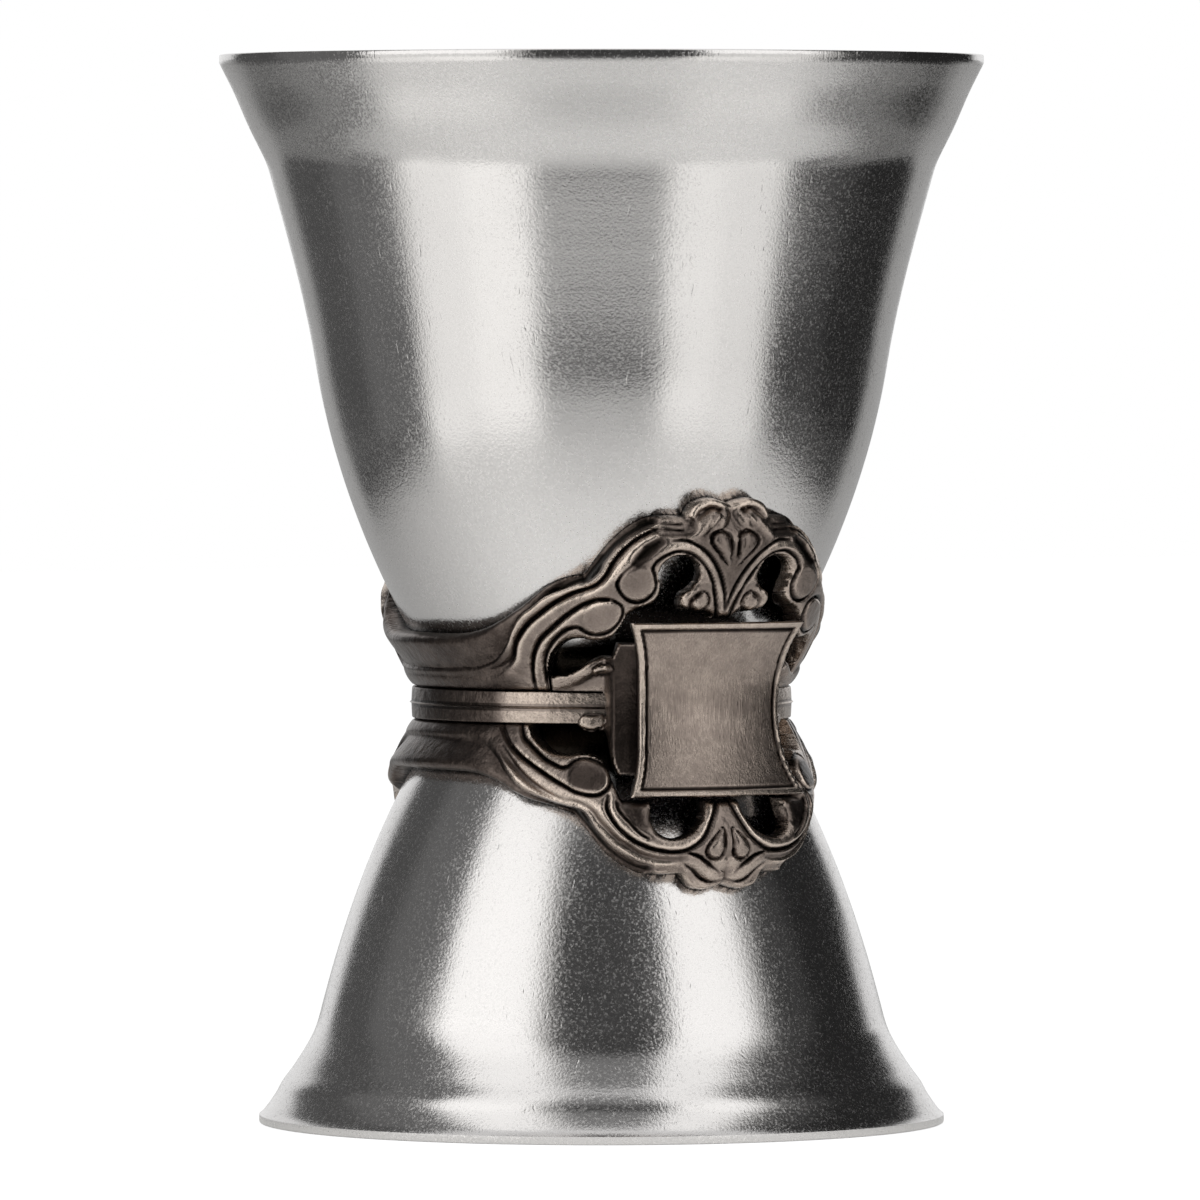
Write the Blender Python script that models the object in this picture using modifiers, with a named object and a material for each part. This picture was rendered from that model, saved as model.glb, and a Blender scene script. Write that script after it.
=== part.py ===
"""Cocktail jigger: two spun steel cups joined base to base, with cast pierced collars round the joint.

Units are metres and +Z is up. The origin is on the axis, at the foot rim, and the front faces -Y.
A rise is a height measured from a cup's base towards its mouth. An offset is a height measured from
the joint plane towards either mouth. The cast pieces are laid out flat, as angle against offset, and
are then wrapped round the cups.
"""
import math

import bmesh
import bpy

# Fits
FIT_GAP = 0.0002
BRAZE_THICKNESS = 0.0004
BRAZE_INSET = 0.0004

# Both cups
CUP_WALL = 0.0008
CUP_FLOOR = 0.0010
CUP_BASE_RADIUS = 0.0115
RIM_EDGE = 0.0006

# Upper cup: the lip runs from the rim down to a crease, the flare from there to the bowl
UPPER_CUP_HEIGHT = 0.04805
UPPER_LIP_HEIGHT = 0.00807
UPPER_FLARE_HEIGHT = 0.01493
UPPER_RIM_RADIUS = 0.02865
UPPER_CREASE_RADIUS = 0.02509
UPPER_BOWL_RADIUS = 0.02145
UPPER_BASE_SLOPE = 0.64
UPPER_BOWL_SLOPE = 0.16
UPPER_FLARE_SLOPE = 0.28
UPPER_LIP_SLOPE = 0.47

# Lower cup, which stands on its mouth
LOWER_CUP_HEIGHT = 0.03115
LOWER_LIP_HEIGHT = 0.00405
LOWER_FLARE_HEIGHT = 0.0036
LOWER_RIM_RADIUS = 0.0257
LOWER_CREASE_RADIUS = 0.0232
LOWER_BOWL_RADIUS = 0.02126
LOWER_BASE_SLOPE = 0.66
LOWER_BOWL_SLOPE = 0.25
LOWER_FLARE_SLOPE = 0.62
LOWER_LIP_SLOPE = 0.74

# Waist ring
RING_HEIGHT = 0.0021
RING_WALL = 0.0021
RIDGE_WIDTH = 0.0007
RIDGE_RISE = 0.0002

# Plates and tablets, from the ring outwards
PLATE_THICKNESS = 0.0017
PLATE_HALF_HEIGHT = 0.0049
PLATE_HALF_WIDTH = 0.0081
PLATE_CORNER_INSET = 0.0007
TABLET_THICKNESS = 0.0012
TABLET_HALF_HEIGHT = 0.0064
TABLET_HALF_WIDTH = 0.0067
TABLET_SIDE_SCOOP = 0.0007
TABLET_FLARE = 0.0019

# Collars
COLLAR_THICKNESS = 0.0018
COLLAR_CREST_THICKNESS = 0.0010
COLLAR_THIN_START = 0.0040
COLLAR_BULGE = 0.0019
BULGE_FLAT_ANGLE = math.radians(20.0)
BULGE_HALF_ANGLE = math.radians(52.0)
BULGE_EDGE_START = math.radians(12.0)
BULGE_EDGE_END = math.radians(55.0)
BULGE_EDGE_MARGIN = 0.0003
BULGE_FADE = 0.0036
UPPER_CREST = 0.01565
UPPER_SHOULDER = 0.0143
UPPER_SHANK = 0.0054
LOWER_CREST = 0.0133
LOWER_SHOULDER = 0.0121
LOWER_SHANK = 0.0048
COLLAR_CLEARANCE = 0.0003

# Facets
CUP_SEGMENTS = 44
BOWL_STEPS = 8
FLARE_STEPS = 4
LIP_STEPS = 3
CURVE_PIECES = 3
PATTERN_RADIUS = 0.0175
PATTERN_DEPTH = 0.001
PATTERN_CELL_WIDTH = 0.0019
PATTERN_CELL_HEIGHT = 0.0016
MERGE_DISTANCE = 0.000002

JOINT_HALF = BRAZE_THICKNESS / 2 + FIT_GAP
JOINT_HEIGHT = LOWER_CUP_HEIGHT + JOINT_HALF
COLLAR_START = RING_HEIGHT / 2 + FIT_GAP


def hermite(x, span):
    """Height of the cubic through the span's two points, with the span's two slopes."""
    x0, y0, slope0, x1, y1, slope1 = span
    length = x1 - x0
    t = (x - x0) / length
    start = (1 + 2 * t) * (1 - t) ** 2 * y0 + t * (1 - t) ** 2 * length * slope0
    end = t * t * (3 - 2 * t) * y1 - t * t * (1 - t) * length * slope1
    return start + end


class CupForm:
    """Outer shape of one cup, as radius against rise."""

    def __init__(self, height, lip, flare, rim_radius, crease_radius, bowl_radius, slopes):
        base_slope, bowl_slope, flare_slope, lip_slope = slopes
        crease_rise = height - lip
        bowl_rise = crease_rise - flare
        self.height = height
        self.lip_top = height - RIM_EDGE
        self.rim_radius = rim_radius
        self.lip_slope = lip_slope
        self.spans = [
            (0.0, CUP_BASE_RADIUS, base_slope, bowl_rise, bowl_radius, bowl_slope),
            (bowl_rise, bowl_radius, bowl_slope, crease_rise, crease_radius, flare_slope),
            (crease_rise, crease_radius, lip_slope, self.lip_top, rim_radius, lip_slope),
        ]

    def sheet_radius(self, rise):
        """Outer radius of the sheet, before its rim is ground to a straight edge."""
        if rise >= self.lip_top:
            return self.rim_radius + (rise - self.lip_top) * self.lip_slope
        for span in self.spans:
            if rise <= span[3]:
                return hermite(rise, span)
        return self.rim_radius

    def inner_radius(self, rise):
        """Inner radius of the sheet, one wall inside its outer face."""
        step = 0.1 * CUP_WALL
        slope = (self.sheet_radius(rise + step) - self.sheet_radius(rise - step)) / (2 * step)
        return self.sheet_radius(rise) - CUP_WALL * math.sqrt(1 + slope * slope)

    def rises(self, lowest):
        """Rises at which the profile has a point, from the lowest to the top of the lip."""
        found = [lowest]
        for span, steps in zip(self.spans, (BOWL_STEPS, FLARE_STEPS, LIP_STEPS)):
            for step in range(1, steps + 1):
                rise = span[0] + (span[3] - span[0]) * step / steps
                if rise > lowest + CUP_WALL:
                    found.append(rise)
        return found


UPPER_FORM = CupForm(
    UPPER_CUP_HEIGHT, UPPER_LIP_HEIGHT, UPPER_FLARE_HEIGHT,
    UPPER_RIM_RADIUS, UPPER_CREASE_RADIUS, UPPER_BOWL_RADIUS,
    (UPPER_BASE_SLOPE, UPPER_BOWL_SLOPE, UPPER_FLARE_SLOPE, UPPER_LIP_SLOPE))
LOWER_FORM = CupForm(
    LOWER_CUP_HEIGHT, LOWER_LIP_HEIGHT, LOWER_FLARE_HEIGHT,
    LOWER_RIM_RADIUS, LOWER_CREASE_RADIUS, LOWER_BOWL_RADIUS,
    (LOWER_BASE_SLOPE, LOWER_BOWL_SLOPE, LOWER_FLARE_SLOPE, LOWER_LIP_SLOPE))
RING_SEAT = RING_HEIGHT / 2 - JOINT_HALF
RING_BORE = max(UPPER_FORM.sheet_radius(RING_SEAT), LOWER_FORM.sheet_radius(RING_SEAT)) + FIT_GAP
RING_RADIUS = RING_BORE + RING_WALL


def cup_face(form, offset):
    """Outer radius of a cup at an offset from the joint plane."""
    return form.sheet_radius(max(abs(offset) - JOINT_HALF, 0.0))


def smooth_step(t):
    """Ease from 0 to 1, flat at both ends."""
    t = min(max(t, 0.0), 1.0)
    return t * t * (3 - 2 * t)


def make_material(name, colour, roughness):
    """A metal of one colour."""
    material = bpy.data.materials.new(name)
    material.use_nodes = True
    shader = material.node_tree.nodes["Principled BSDF"]
    shader.inputs["Base Color"].default_value = (*colour, 1.0)
    shader.inputs["Roughness"].default_value = roughness
    shader.inputs["Metallic"].default_value = 1.0
    return material


def add_object(name, mesh, material):
    """Put a mesh in the jigger's collection, shaded smooth except at its edges."""
    mesh.materials.append(material)
    mesh.shade_smooth()
    mesh.set_sharp_from_angle(angle=math.radians(30.0))
    piece = bpy.data.objects.new(name, mesh)
    bpy.data.collections["cocktail_jigger"].objects.link(piece)
    return piece


def turn_profile(name, points, closed, material):
    """A body of revolution from (radius, height) points that run down its outer side."""
    mesh = bpy.data.meshes.new(name)
    edges = [(i, i + 1) for i in range(len(points) - 1)]
    if closed:
        edges.append((len(points) - 1, 0))
    mesh.from_pydata([(radius, 0.0, height) for radius, height in points], edges, [])
    piece = add_object(name, mesh, material)
    screw = piece.modifiers.new("turn", "SCREW")
    screw.axis = "Z"
    screw.angle = math.tau
    screw.steps = CUP_SEGMENTS
    screw.render_steps = CUP_SEGMENTS
    screw.use_merge_vertices = True
    screw.merge_threshold = MERGE_DISTANCE
    screw.use_smooth_shade = True
    return piece


def make_cup(name, form, side, material):
    """A sheet cup standing on the joint, its mouth up for side 1 and down for side -1."""
    base = JOINT_HEIGHT + side * JOINT_HALF
    inside = [(0.0, CUP_FLOOR)]
    for rise in form.rises(CUP_FLOOR):
        inside.append((form.inner_radius(rise), rise))
    inside.append((form.inner_radius(form.height), form.height))
    outside = [(form.rim_radius, form.height)]
    for rise in reversed(form.rises(0.0)):
        outside.append((form.sheet_radius(rise), rise))
    outside.append((0.0, 0.0))
    profile = [(radius, base + side * rise) for radius, rise in inside + outside]
    if side < 0:
        profile.reverse()
    return turn_profile(name, profile, False, material)


def make_braze_disc(material):
    """The filler between the two cup bases."""
    body = bmesh.new()
    radius = CUP_BASE_RADIUS - BRAZE_INSET
    bmesh.ops.create_cone(body, cap_ends=True, segments=CUP_SEGMENTS, radius1=radius, radius2=radius,
                          depth=BRAZE_THICKNESS)
    mesh = bpy.data.meshes.new("braze_disc")
    body.to_mesh(mesh)
    body.free()
    disc = add_object("braze_disc", mesh, material)
    disc.location.z = JOINT_HEIGHT
    return disc


def make_waist_ring(material):
    """The plain ring over the joint, with a fine ridge round its middle."""
    half = RING_HEIGHT / 2
    ridge = RIDGE_WIDTH / 2
    section = [
        (RING_BORE, half), (RING_RADIUS, half), (RING_RADIUS, ridge), (RING_RADIUS + RIDGE_RISE, 0.0),
        (RING_RADIUS, -ridge), (RING_RADIUS, -half), (RING_BORE, -half),
    ]
    profile = [(radius, JOINT_HEIGHT + height) for radius, height in section]
    return turn_profile("waist_ring", profile, True, material)


def smooth_run(points):
    """Points along a Catmull-Rom curve through the given ones."""
    padded = [points[0], *points, points[-1]]
    found = [points[0]]
    for p0, p1, p2, p3 in zip(padded, padded[1:], padded[2:], padded[3:]):
        for piece in range(1, CURVE_PIECES + 1):
            t = piece / CURVE_PIECES
            weights = (-t + 2 * t ** 2 - t ** 3, 2 - 5 * t ** 2 + 3 * t ** 3,
                       t + 4 * t ** 2 - 3 * t ** 3, t ** 3 - t ** 2)
            found.append(tuple(
                sum(weight * point[axis] for weight, point in zip(weights, (p0, p1, p2, p3))) / 2
                for axis in (0, 1)))
    return found


def close_outline(runs):
    """A closed outline from the runs of its left half, which start and end on the middle line."""
    left = []
    for run in runs:
        points = smooth_run(run) if len(run) > 2 else run
        left.extend(points if not left else points[1:])
    right = [(-u, v) for u, v in reversed(left)]
    return left + right[1:-1]


def degrees_run(points, unit=0.001):
    """Pattern points from angles in degrees and offsets in millimetres."""
    return [(math.radians(angle) * PATTERN_RADIUS, offset * unit) for angle, offset in points]


def flat_plate(outline):
    """A flat plate of the pattern's depth, cut into cells so that it can be wrapped."""
    curve = bpy.data.curves.new("pattern", "CURVE")
    curve.dimensions = "2D"
    curve.fill_mode = "BOTH"
    curve.extrude = PATTERN_DEPTH / 2
    spline = curve.splines.new("POLY")
    spline.points.add(len(outline) - 1)
    for point, (u, v) in zip(spline.points, outline):
        point.co = (u, v, 0.0, 1.0)
    spline.use_cyclic_u = True
    pattern = bpy.data.objects.new("pattern", curve)
    bpy.context.scene.collection.objects.link(pattern)
    bpy.context.view_layer.update()
    mesh = bpy.data.meshes.new_from_object(pattern.evaluated_get(bpy.context.evaluated_depsgraph_get()))
    bpy.data.objects.remove(pattern)
    body = bmesh.new()
    body.from_mesh(mesh)
    bpy.data.meshes.remove(mesh)
    bmesh.ops.remove_doubles(body, verts=body.verts, dist=MERGE_DISTANCE)
    bmesh.ops.dissolve_limit(body, angle_limit=math.radians(0.5), verts=body.verts, edges=body.edges)
    for axis, cell in ((0, PATTERN_CELL_WIDTH), (1, PATTERN_CELL_HEIGHT)):
        lowest = min(vert.co[axis] for vert in body.verts)
        highest = max(vert.co[axis] for vert in body.verts)
        cells = max(round((highest - lowest) / cell), 1)
        normal = [0.0, 0.0, 0.0]
        normal[axis] = 1.0
        for line in range(1, cells):
            point = [0.0, 0.0, 0.0]
            point[axis] = lowest + (highest - lowest) * line / cells
            geometry = body.verts[:] + body.edges[:] + body.faces[:]
            bmesh.ops.bisect_plane(body, geom=geometry, plane_co=point, plane_no=normal, dist=MERGE_DISTANCE)
    bmesh.ops.triangulate(body, faces=body.faces)
    return body


def wrap_plate(body, turn, side, inner_radius, outer_radius):
    """Bend a flat plate round the axis, between an inner and an outer radius."""
    for vert in body.verts:
        angle = vert.co.x / PATTERN_RADIUS
        offset = vert.co.y
        depth = vert.co.z / PATTERN_DEPTH + 0.5
        radius = inner_radius(angle, offset) * (1 - depth) + outer_radius(angle, offset) * depth
        vert.co.x = radius * math.sin(angle + turn)
        vert.co.y = -radius * math.cos(angle + turn)
        vert.co.z = JOINT_HEIGHT + side * offset
    bmesh.ops.recalc_face_normals(body, faces=body.faces)


def mesh_from(name, body):
    """A mesh from a finished body."""
    mesh = bpy.data.meshes.new(name)
    body.to_mesh(mesh)
    body.free()
    return mesh


def plate_back(offset):
    """Radius of a plate's back, clear of the ring's ridge and of both cups."""
    cups = max(cup_face(UPPER_FORM, offset), cup_face(LOWER_FORM, offset))
    return max(RING_RADIUS + RIDGE_RISE, cups) + FIT_GAP


def plate_front(offset):
    """Radius of a plate's front, hollowed like the waist."""
    return plate_back(0.0) + PLATE_THICKNESS + TABLET_FLARE * (offset / TABLET_HALF_HEIGHT) ** 2


def tablet_back(offset):
    """Radius of a tablet's back, on the plate."""
    return plate_front(offset) + FIT_GAP


def make_plate(name, turn, material):
    """The backing plate between the two collars."""
    width = PLATE_HALF_WIDTH
    height = PLATE_HALF_HEIGHT
    corner = width - PLATE_CORNER_INSET
    runs = [
        [(0.0, height), (-corner, height)],
        [(-corner, height), (-width, height / 2), (-width, -height / 2), (-corner, -height)],
        [(-corner, -height), (0.0, -height)],
    ]
    body = flat_plate(close_outline(runs))
    wrap_plate(body, turn, 1, lambda angle, offset: plate_back(offset),
               lambda angle, offset: plate_front(offset))
    return add_object(name, mesh_from(name, body), material)


def make_tablet(name, turn, material):
    """The bare tablet on a plate, with hollowed sides."""
    width = TABLET_HALF_WIDTH
    height = TABLET_HALF_HEIGHT
    scoop = width - TABLET_SIDE_SCOOP
    runs = [
        [(0.0, height), (-width, height)],
        [(-width, height), (-scoop, height / 2), (-scoop, -height / 2), (-width, -height)],
        [(-width, -height), (0.0, -height)],
    ]
    body = flat_plate(close_outline(runs))
    wrap_plate(body, turn, 1, lambda angle, offset: tablet_back(offset),
               lambda angle, offset: tablet_back(offset) + TABLET_THICKNESS)
    return add_object(name, mesh_from(name, body), material)


def upper_collar_runs():
    """Left half of the upper collar's outline, as one half turn laid flat."""
    edge = (TABLET_HALF_HEIGHT + COLLAR_CLEARANCE) * 1000
    bay = (PLATE_HALF_HEIGHT + COLLAR_CLEARANCE) * 1000
    side = math.degrees((TABLET_HALF_WIDTH + COLLAR_CLEARANCE) / PATTERN_RADIUS)
    start = COLLAR_START * 1000
    crest = UPPER_CREST * 1000
    shoulder = UPPER_SHOULDER * 1000
    shank = UPPER_SHANK * 1000
    return [degrees_run(run) for run in (
        [(0, crest - 0.4), (-1.8, crest - 0.2), (-5, crest), (-8.6, crest - 0.4), (-10.2, shoulder)],
        [(-10.2, shoulder), (-16.8, shoulder), (-21.4, shoulder - 0.6), (-26, shoulder - 1.8),
         (-30, shoulder - 3.3), (-32.8, shoulder - 4.4)],
        [(-32.8, shoulder - 4.4), (-37, shoulder - 4.6), (-43, shoulder - 5.3), (-50.4, shank + 2.1),
         (-59, shank + 0.8), (-68, shank + 0.15), (-79, shank), (-90, shank)],
        [(-90, shank), (-90, start)],
        [(-90, start), (-side - 22, start)],
        [(-side - 22, start), (-side - 22.6, bay - 2.0), (-side - 20, bay - 0.7), (-side - 15, bay),
         (-side - 8, bay + 0.5), (-side - 3, bay + 0.5), (-side - 1, edge)],
        [(-side - 1, edge), (-17.4, edge)],
        [(-17.4, edge), (-16.4, edge + 1.2), (-16.3, edge + 3.2), (-14.5, edge + 4.4), (-10.8, edge + 4.7),
         (-8, edge + 4.0), (-6.6, edge + 2.6)],
        [(-6.6, edge + 2.6), (-8.6, edge + 2.1), (-9.6, edge + 1.2), (-7.6, edge + 0.5), (-4.5, edge + 0.5),
         (-2.4, edge)],
        [(-2.4, edge), (0, edge)],
    )]


def lower_collar_runs():
    """Left half of the lower collar's outline, as one half turn laid flat."""
    edge = (TABLET_HALF_HEIGHT + COLLAR_CLEARANCE) * 1000
    bay = (PLATE_HALF_HEIGHT + COLLAR_CLEARANCE) * 1000
    side = math.degrees((TABLET_HALF_WIDTH + COLLAR_CLEARANCE) / PATTERN_RADIUS)
    plate_side = math.degrees((PLATE_HALF_WIDTH + COLLAR_CLEARANCE) / PATTERN_RADIUS)
    bulb = max(side + 3.5, plate_side + 1.5)
    start = COLLAR_START * 1000
    crest = LOWER_CREST * 1000
    shoulder = LOWER_SHOULDER * 1000
    shank = LOWER_SHANK * 1000
    return [degrees_run(run) for run in (
        [(0, crest - 0.4), (-1.8, crest - 0.2), (-5, crest), (-8.6, crest - 0.3), (-10.4, shoulder)],
        [(-10.4, shoulder), (-17.7, shoulder), (-23.2, shoulder - 0.65), (-27.9, shoulder - 1.7),
         (-32, shoulder - 3.1), (-36, shoulder - 4.4)],
        [(-36, shoulder - 4.4), (-41.2, shoulder - 4.9), (-49.8, shank + 1.8), (-58, shank + 0.7),
         (-67, shank + 0.1), (-78, shank), (-90, shank)],
        [(-90, shank), (-90, start)],
        [(-90, start), (-bulb - 22, start)],
        [(-bulb - 22, start), (-bulb - 20, bay - 2.7), (-bulb - 14, bay - 1.95), (-bulb - 7, bay - 1.5),
         (-bulb - 2, bay - 1.1), (-bulb, bay + 0.3), (-side - 1, edge)],
        [(-side - 1, edge), (-18, edge)],
        [(-18, edge), (-18.3, edge + 1.2), (-16, edge + 2.5), (-12.4, edge + 2.9), (-8, edge + 2.3),
         (-5.4, edge + 1), (-3.4, edge)],
        [(-3.4, edge), (0, edge)],
    )]


def make_collar(name, form, side, levels, runs, material):
    """A cast collar seated on a cup's taper, alike at the front and at the back."""
    crest, shoulder, shank = levels

    def bulge(angle, offset):
        around = smooth_step((BULGE_HALF_ANGLE - abs(angle)) / (BULGE_HALF_ANGLE - BULGE_FLAT_ANGLE))
        drop = smooth_step((abs(angle) - BULGE_EDGE_START) / (BULGE_EDGE_END - BULGE_EDGE_START))
        edge = crest - BULGE_EDGE_MARGIN - (shoulder - shank) * drop
        return COLLAR_BULGE * around * smooth_step((edge - offset) / BULGE_FADE)

    def inner_radius(angle, offset):
        return cup_face(form, offset) + FIT_GAP + bulge(angle, offset)

    def outer_radius(angle, offset):
        thinning = smooth_step((offset - COLLAR_THIN_START) / (crest - COLLAR_THIN_START))
        thickness = COLLAR_THICKNESS + (COLLAR_CREST_THICKNESS - COLLAR_THICKNESS) * thinning
        return inner_radius(angle, offset) + thickness

    half = flat_plate(close_outline(runs))
    end = math.pi / 2 * PATTERN_RADIUS - MERGE_DISTANCE
    caps = [face for face in half.faces if all(abs(vert.co.x) > end for vert in face.verts)]
    bmesh.ops.delete(half, geom=caps, context="FACES_ONLY")
    whole = bmesh.new()
    for turn in (0.0, math.pi):
        copy = half.copy()
        wrap_plate(copy, turn, side, inner_radius, outer_radius)
        mesh = mesh_from(name, copy)
        whole.from_mesh(mesh)
        bpy.data.meshes.remove(mesh)
    half.free()
    bmesh.ops.remove_doubles(whole, verts=whole.verts, dist=MERGE_DISTANCE)
    bmesh.ops.recalc_face_normals(whole, faces=whole.faces)
    return add_object(name, mesh_from(name, whole), material)


def main():
    for piece in list(bpy.data.objects):
        bpy.data.objects.remove(piece, do_unlink=True)
    jigger = bpy.data.collections.new("cocktail_jigger")
    bpy.context.scene.collection.children.link(jigger)
    steel = make_material("satin_steel", (0.56, 0.55, 0.53), 0.32)
    pewter = make_material("antiqued_pewter", (0.20, 0.175, 0.155), 0.42)
    braze = make_material("silver_braze", (0.62, 0.60, 0.55), 0.45)
    make_cup("upper_cup", UPPER_FORM, 1, steel)
    make_cup("lower_cup", LOWER_FORM, -1, steel)
    make_braze_disc(braze)
    make_waist_ring(pewter)
    upper_levels = (UPPER_CREST, UPPER_SHOULDER, UPPER_SHANK)
    lower_levels = (LOWER_CREST, LOWER_SHOULDER, LOWER_SHANK)
    make_collar("upper_collar", UPPER_FORM, 1, upper_levels, upper_collar_runs(), pewter)
    make_collar("lower_collar", LOWER_FORM, -1, lower_levels, lower_collar_runs(), pewter)
    for face, turn in (("front", 0.0), ("rear", math.pi)):
        make_plate(face + "_plate", turn, pewter)
        make_tablet(face + "_tablet", turn, pewter)


main()
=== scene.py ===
"""Looks of a cocktail jigger: spun steel cups, cast pierced collars, and a bare tablet at front and back.

Units are metres and +Z is up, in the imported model's own frame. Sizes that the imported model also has
carry the same values here. Cast pieces are drawn flat, as angle against offset from the joint plane,
get their relief there, and are then wrapped round the cups.
"""
import math

import bmesh
import bpy
import numpy as np
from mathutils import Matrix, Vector


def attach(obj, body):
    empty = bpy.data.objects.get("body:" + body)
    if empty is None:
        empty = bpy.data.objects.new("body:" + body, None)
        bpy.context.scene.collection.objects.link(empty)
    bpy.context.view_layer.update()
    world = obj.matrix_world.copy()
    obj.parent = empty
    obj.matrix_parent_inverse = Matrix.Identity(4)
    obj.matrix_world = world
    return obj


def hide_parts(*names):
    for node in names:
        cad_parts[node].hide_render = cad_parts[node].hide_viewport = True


bl_info = {
    "name": "Cocktail Jigger",
    "version": (1, 0, 0),
    "blender": (4, 5, 0),
    "location": "View3D > Sidebar > Jigger",
    "description": "Dresses the packed jigger in spun steel and antiqued pewter",
    "category": "Object",
}

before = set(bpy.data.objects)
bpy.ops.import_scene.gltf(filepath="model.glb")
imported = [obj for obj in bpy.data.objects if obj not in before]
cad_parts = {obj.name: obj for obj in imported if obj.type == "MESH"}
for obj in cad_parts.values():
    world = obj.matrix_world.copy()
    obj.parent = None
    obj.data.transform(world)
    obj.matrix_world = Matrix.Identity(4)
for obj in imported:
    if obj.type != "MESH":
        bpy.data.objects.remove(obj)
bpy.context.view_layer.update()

# Fits and cups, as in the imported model
FIT_GAP = 0.0002
BRAZE_HALF = 0.0002
JOINT_HALF = BRAZE_HALF + FIT_GAP
LOWER_HEIGHT = 0.03115
JOINT_HEIGHT = LOWER_HEIGHT + JOINT_HALF
CUP_BASE_RADIUS = 0.0115
CUP_FLOOR = 0.0010
RIM_EDGE = 0.0006

# Fillet round a cup's floor, and the length and start of the spinning ripple
FLOOR_FILLET = 0.0016
RIPPLE_LENGTH = 0.00058
RIPPLE_START = 0.012
# Lip sections, as shares of the lip from its crease: where each change starts or ends, and its width
LIP_TURN = (0.28, 0.5)
SAG_START = (0.25, 0.3)
SAG_END = (1.0, 0.08)
# Points along the turned sections: floor fillet, inside, each rim corner, outside, and the ring's band
FILLET_POINTS = 8
INSIDE_POINTS = 96
CORNER_POINTS = 5
OUTSIDE_POINTS = 130
BAND_POINTS = 45
# Edges sharper than these are shaded sharp
CUP_SHARP = math.radians(40.0)
RING_SHARP = math.radians(45.0)
CAST_SHARP = math.radians(50.0)

# How far from the joint plane the cups' outsides are painted nearly black, as painted shade behind the
# collars, and the width of its edge
SHADED_REACH = 0.0046
SHADED_FADE = 0.0007
# Where the upper lip turns dull, and where its ground rim begins, from the joint plane
LIP_DULL = (0.0402, 0.0410)
RIM_GROUND = (0.0477, 0.0479)

# Waist ring, plates and tablets
RING_BORE = 0.0121
RING_WALL = 0.0021
RING_RADIUS = RING_BORE + RING_WALL
RING_HALF = 0.00105
RIDGE_RISE = 0.0002
PLATE_THICKNESS = 0.0017
PLATE_HALF_HEIGHT = 0.0049
TABLET_THICKNESS = 0.0012
TABLET_HALF_HEIGHT = 0.0064
TABLET_HALF_WIDTH = 0.0067
TABLET_SIDE_SCOOP = 0.0007
TABLET_FLARE = 0.0019

# Ring: how far it reaches into the gaps beside it, its corners, its swell, its bead's half width, and
# heights from its middle below which it is worn as a bead and then as a hollow
RING_OVERLAP = 0.00012
RING_CORNER = 0.00006
RING_SWELL = 0.00006
BEAD_HALF = 0.00016
BEAD_WORN = 0.0001
HOLLOW_WORN = 0.0003

# Sprigs that branch from a plate: thickness at the ring, and how they climb above and below it
SPRIG_THICKNESS = 0.0002
SPRIG_SLOPE = 0.4
SPRIG_START = 0.0012
SPRIG_REACH = 0.0018

# Collars, with their levels from the joint plane at the crest, the shoulder and the shank
UPPER_LEVELS = (0.01565, 0.0143, 0.0054)
LOWER_LEVELS = (0.0133, 0.0121, 0.0048)
COLLAR_START = RING_HALF + FIT_GAP
COLLAR_THICKNESS = 0.0018
COLLAR_CREST_THICKNESS = 0.0010
COLLAR_THIN_START = 0.0040
COLLAR_BULGE = 0.0019
BULGE_FLAT_ANGLE = math.radians(20.0)
BULGE_HALF_ANGLE = math.radians(52.0)
BULGE_EDGE_START = math.radians(12.0)
BULGE_EDGE_END = math.radians(55.0)
BULGE_EDGE_MARGIN = 0.0003
BULGE_FADE = 0.0036
PATTERN_RADIUS = 0.0175
MM_PER_DEGREE = math.radians(1.0) * PATTERN_RADIUS * 1000
MERGE_DISTANCE = 0.000002
# Beyond any distance in a pattern, and the square of a length that counts as none
FAR = 1e9
NEAR = 1e-12
# Thinnest that a cast piece gets, and the gap under a collar's thin edge
LEAST_THICKNESS = 0.00015
EDGE_GAP = 0.00003
# Grid steps at the collars' shanks and on the plates, beside the collars' own step
SHANK_CELL = 3
PLATE_CELL = 1.3

# Relief, in millimetres: how far a collar's thin edge stands over the cup, and the sizes of cuts
LIP_STAND = 0.2
INK_DEPTH = 0.3
INK_EDGE = (0.15, 0.1)
CREST_DEPTH = 0.4
FLANK_WIDTH = 0.4
COVE_SHADE_WIDTH = 1.2
UPPER_COVE_WALL = 0.3
LOWER_COVE_WALL = 0.5
DROP_MOAT = 0.24
SPRIG_MOAT = 0.15
PLATE_SINK = -0.05
TABLET_SINK = -0.06
BORDER_RISE = 0.12
BORDER_LINE_DEPTH = 0.16
# Bands beside an edge, in millimetres: middle and half width
PLATE_EDGE = (0.1, 0.12)
BORDER_LINE = (0.58, 0.13)
# Rounding of edges, in millimetres. The shanks add to a collar's outer edge, the ornament to its inner one
OUTER_DROP = 0.95
OUTER_WIDTH = 0.4
OUTER_EXTRA = 0.5
INNER_DROP = 0.1
INNER_DROP_EXTRA = 0.5
INNER_WIDTH = 0.15
INNER_WIDTH_EXTRA = 0.45
PLATE_ROUND = 0.3
TABLET_ROUND = 0.18
# Heights that the wear takes beyond an edge, in millimetres
BEYOND_COLLAR = -1.0
BEYOND_PLATE = -0.4

# Places across a stroke, as shares of its width: a pad's edge, and the middle and width of the rest
PAD_EDGE = 0.3
MOAT_BAND = (1.08, 0.26)
RAIL_CREST = (1.1, 0.5)
COVE_CREST = (1.0, 0.45)
TONED_STROKE = (1.1, 0.4)

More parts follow.
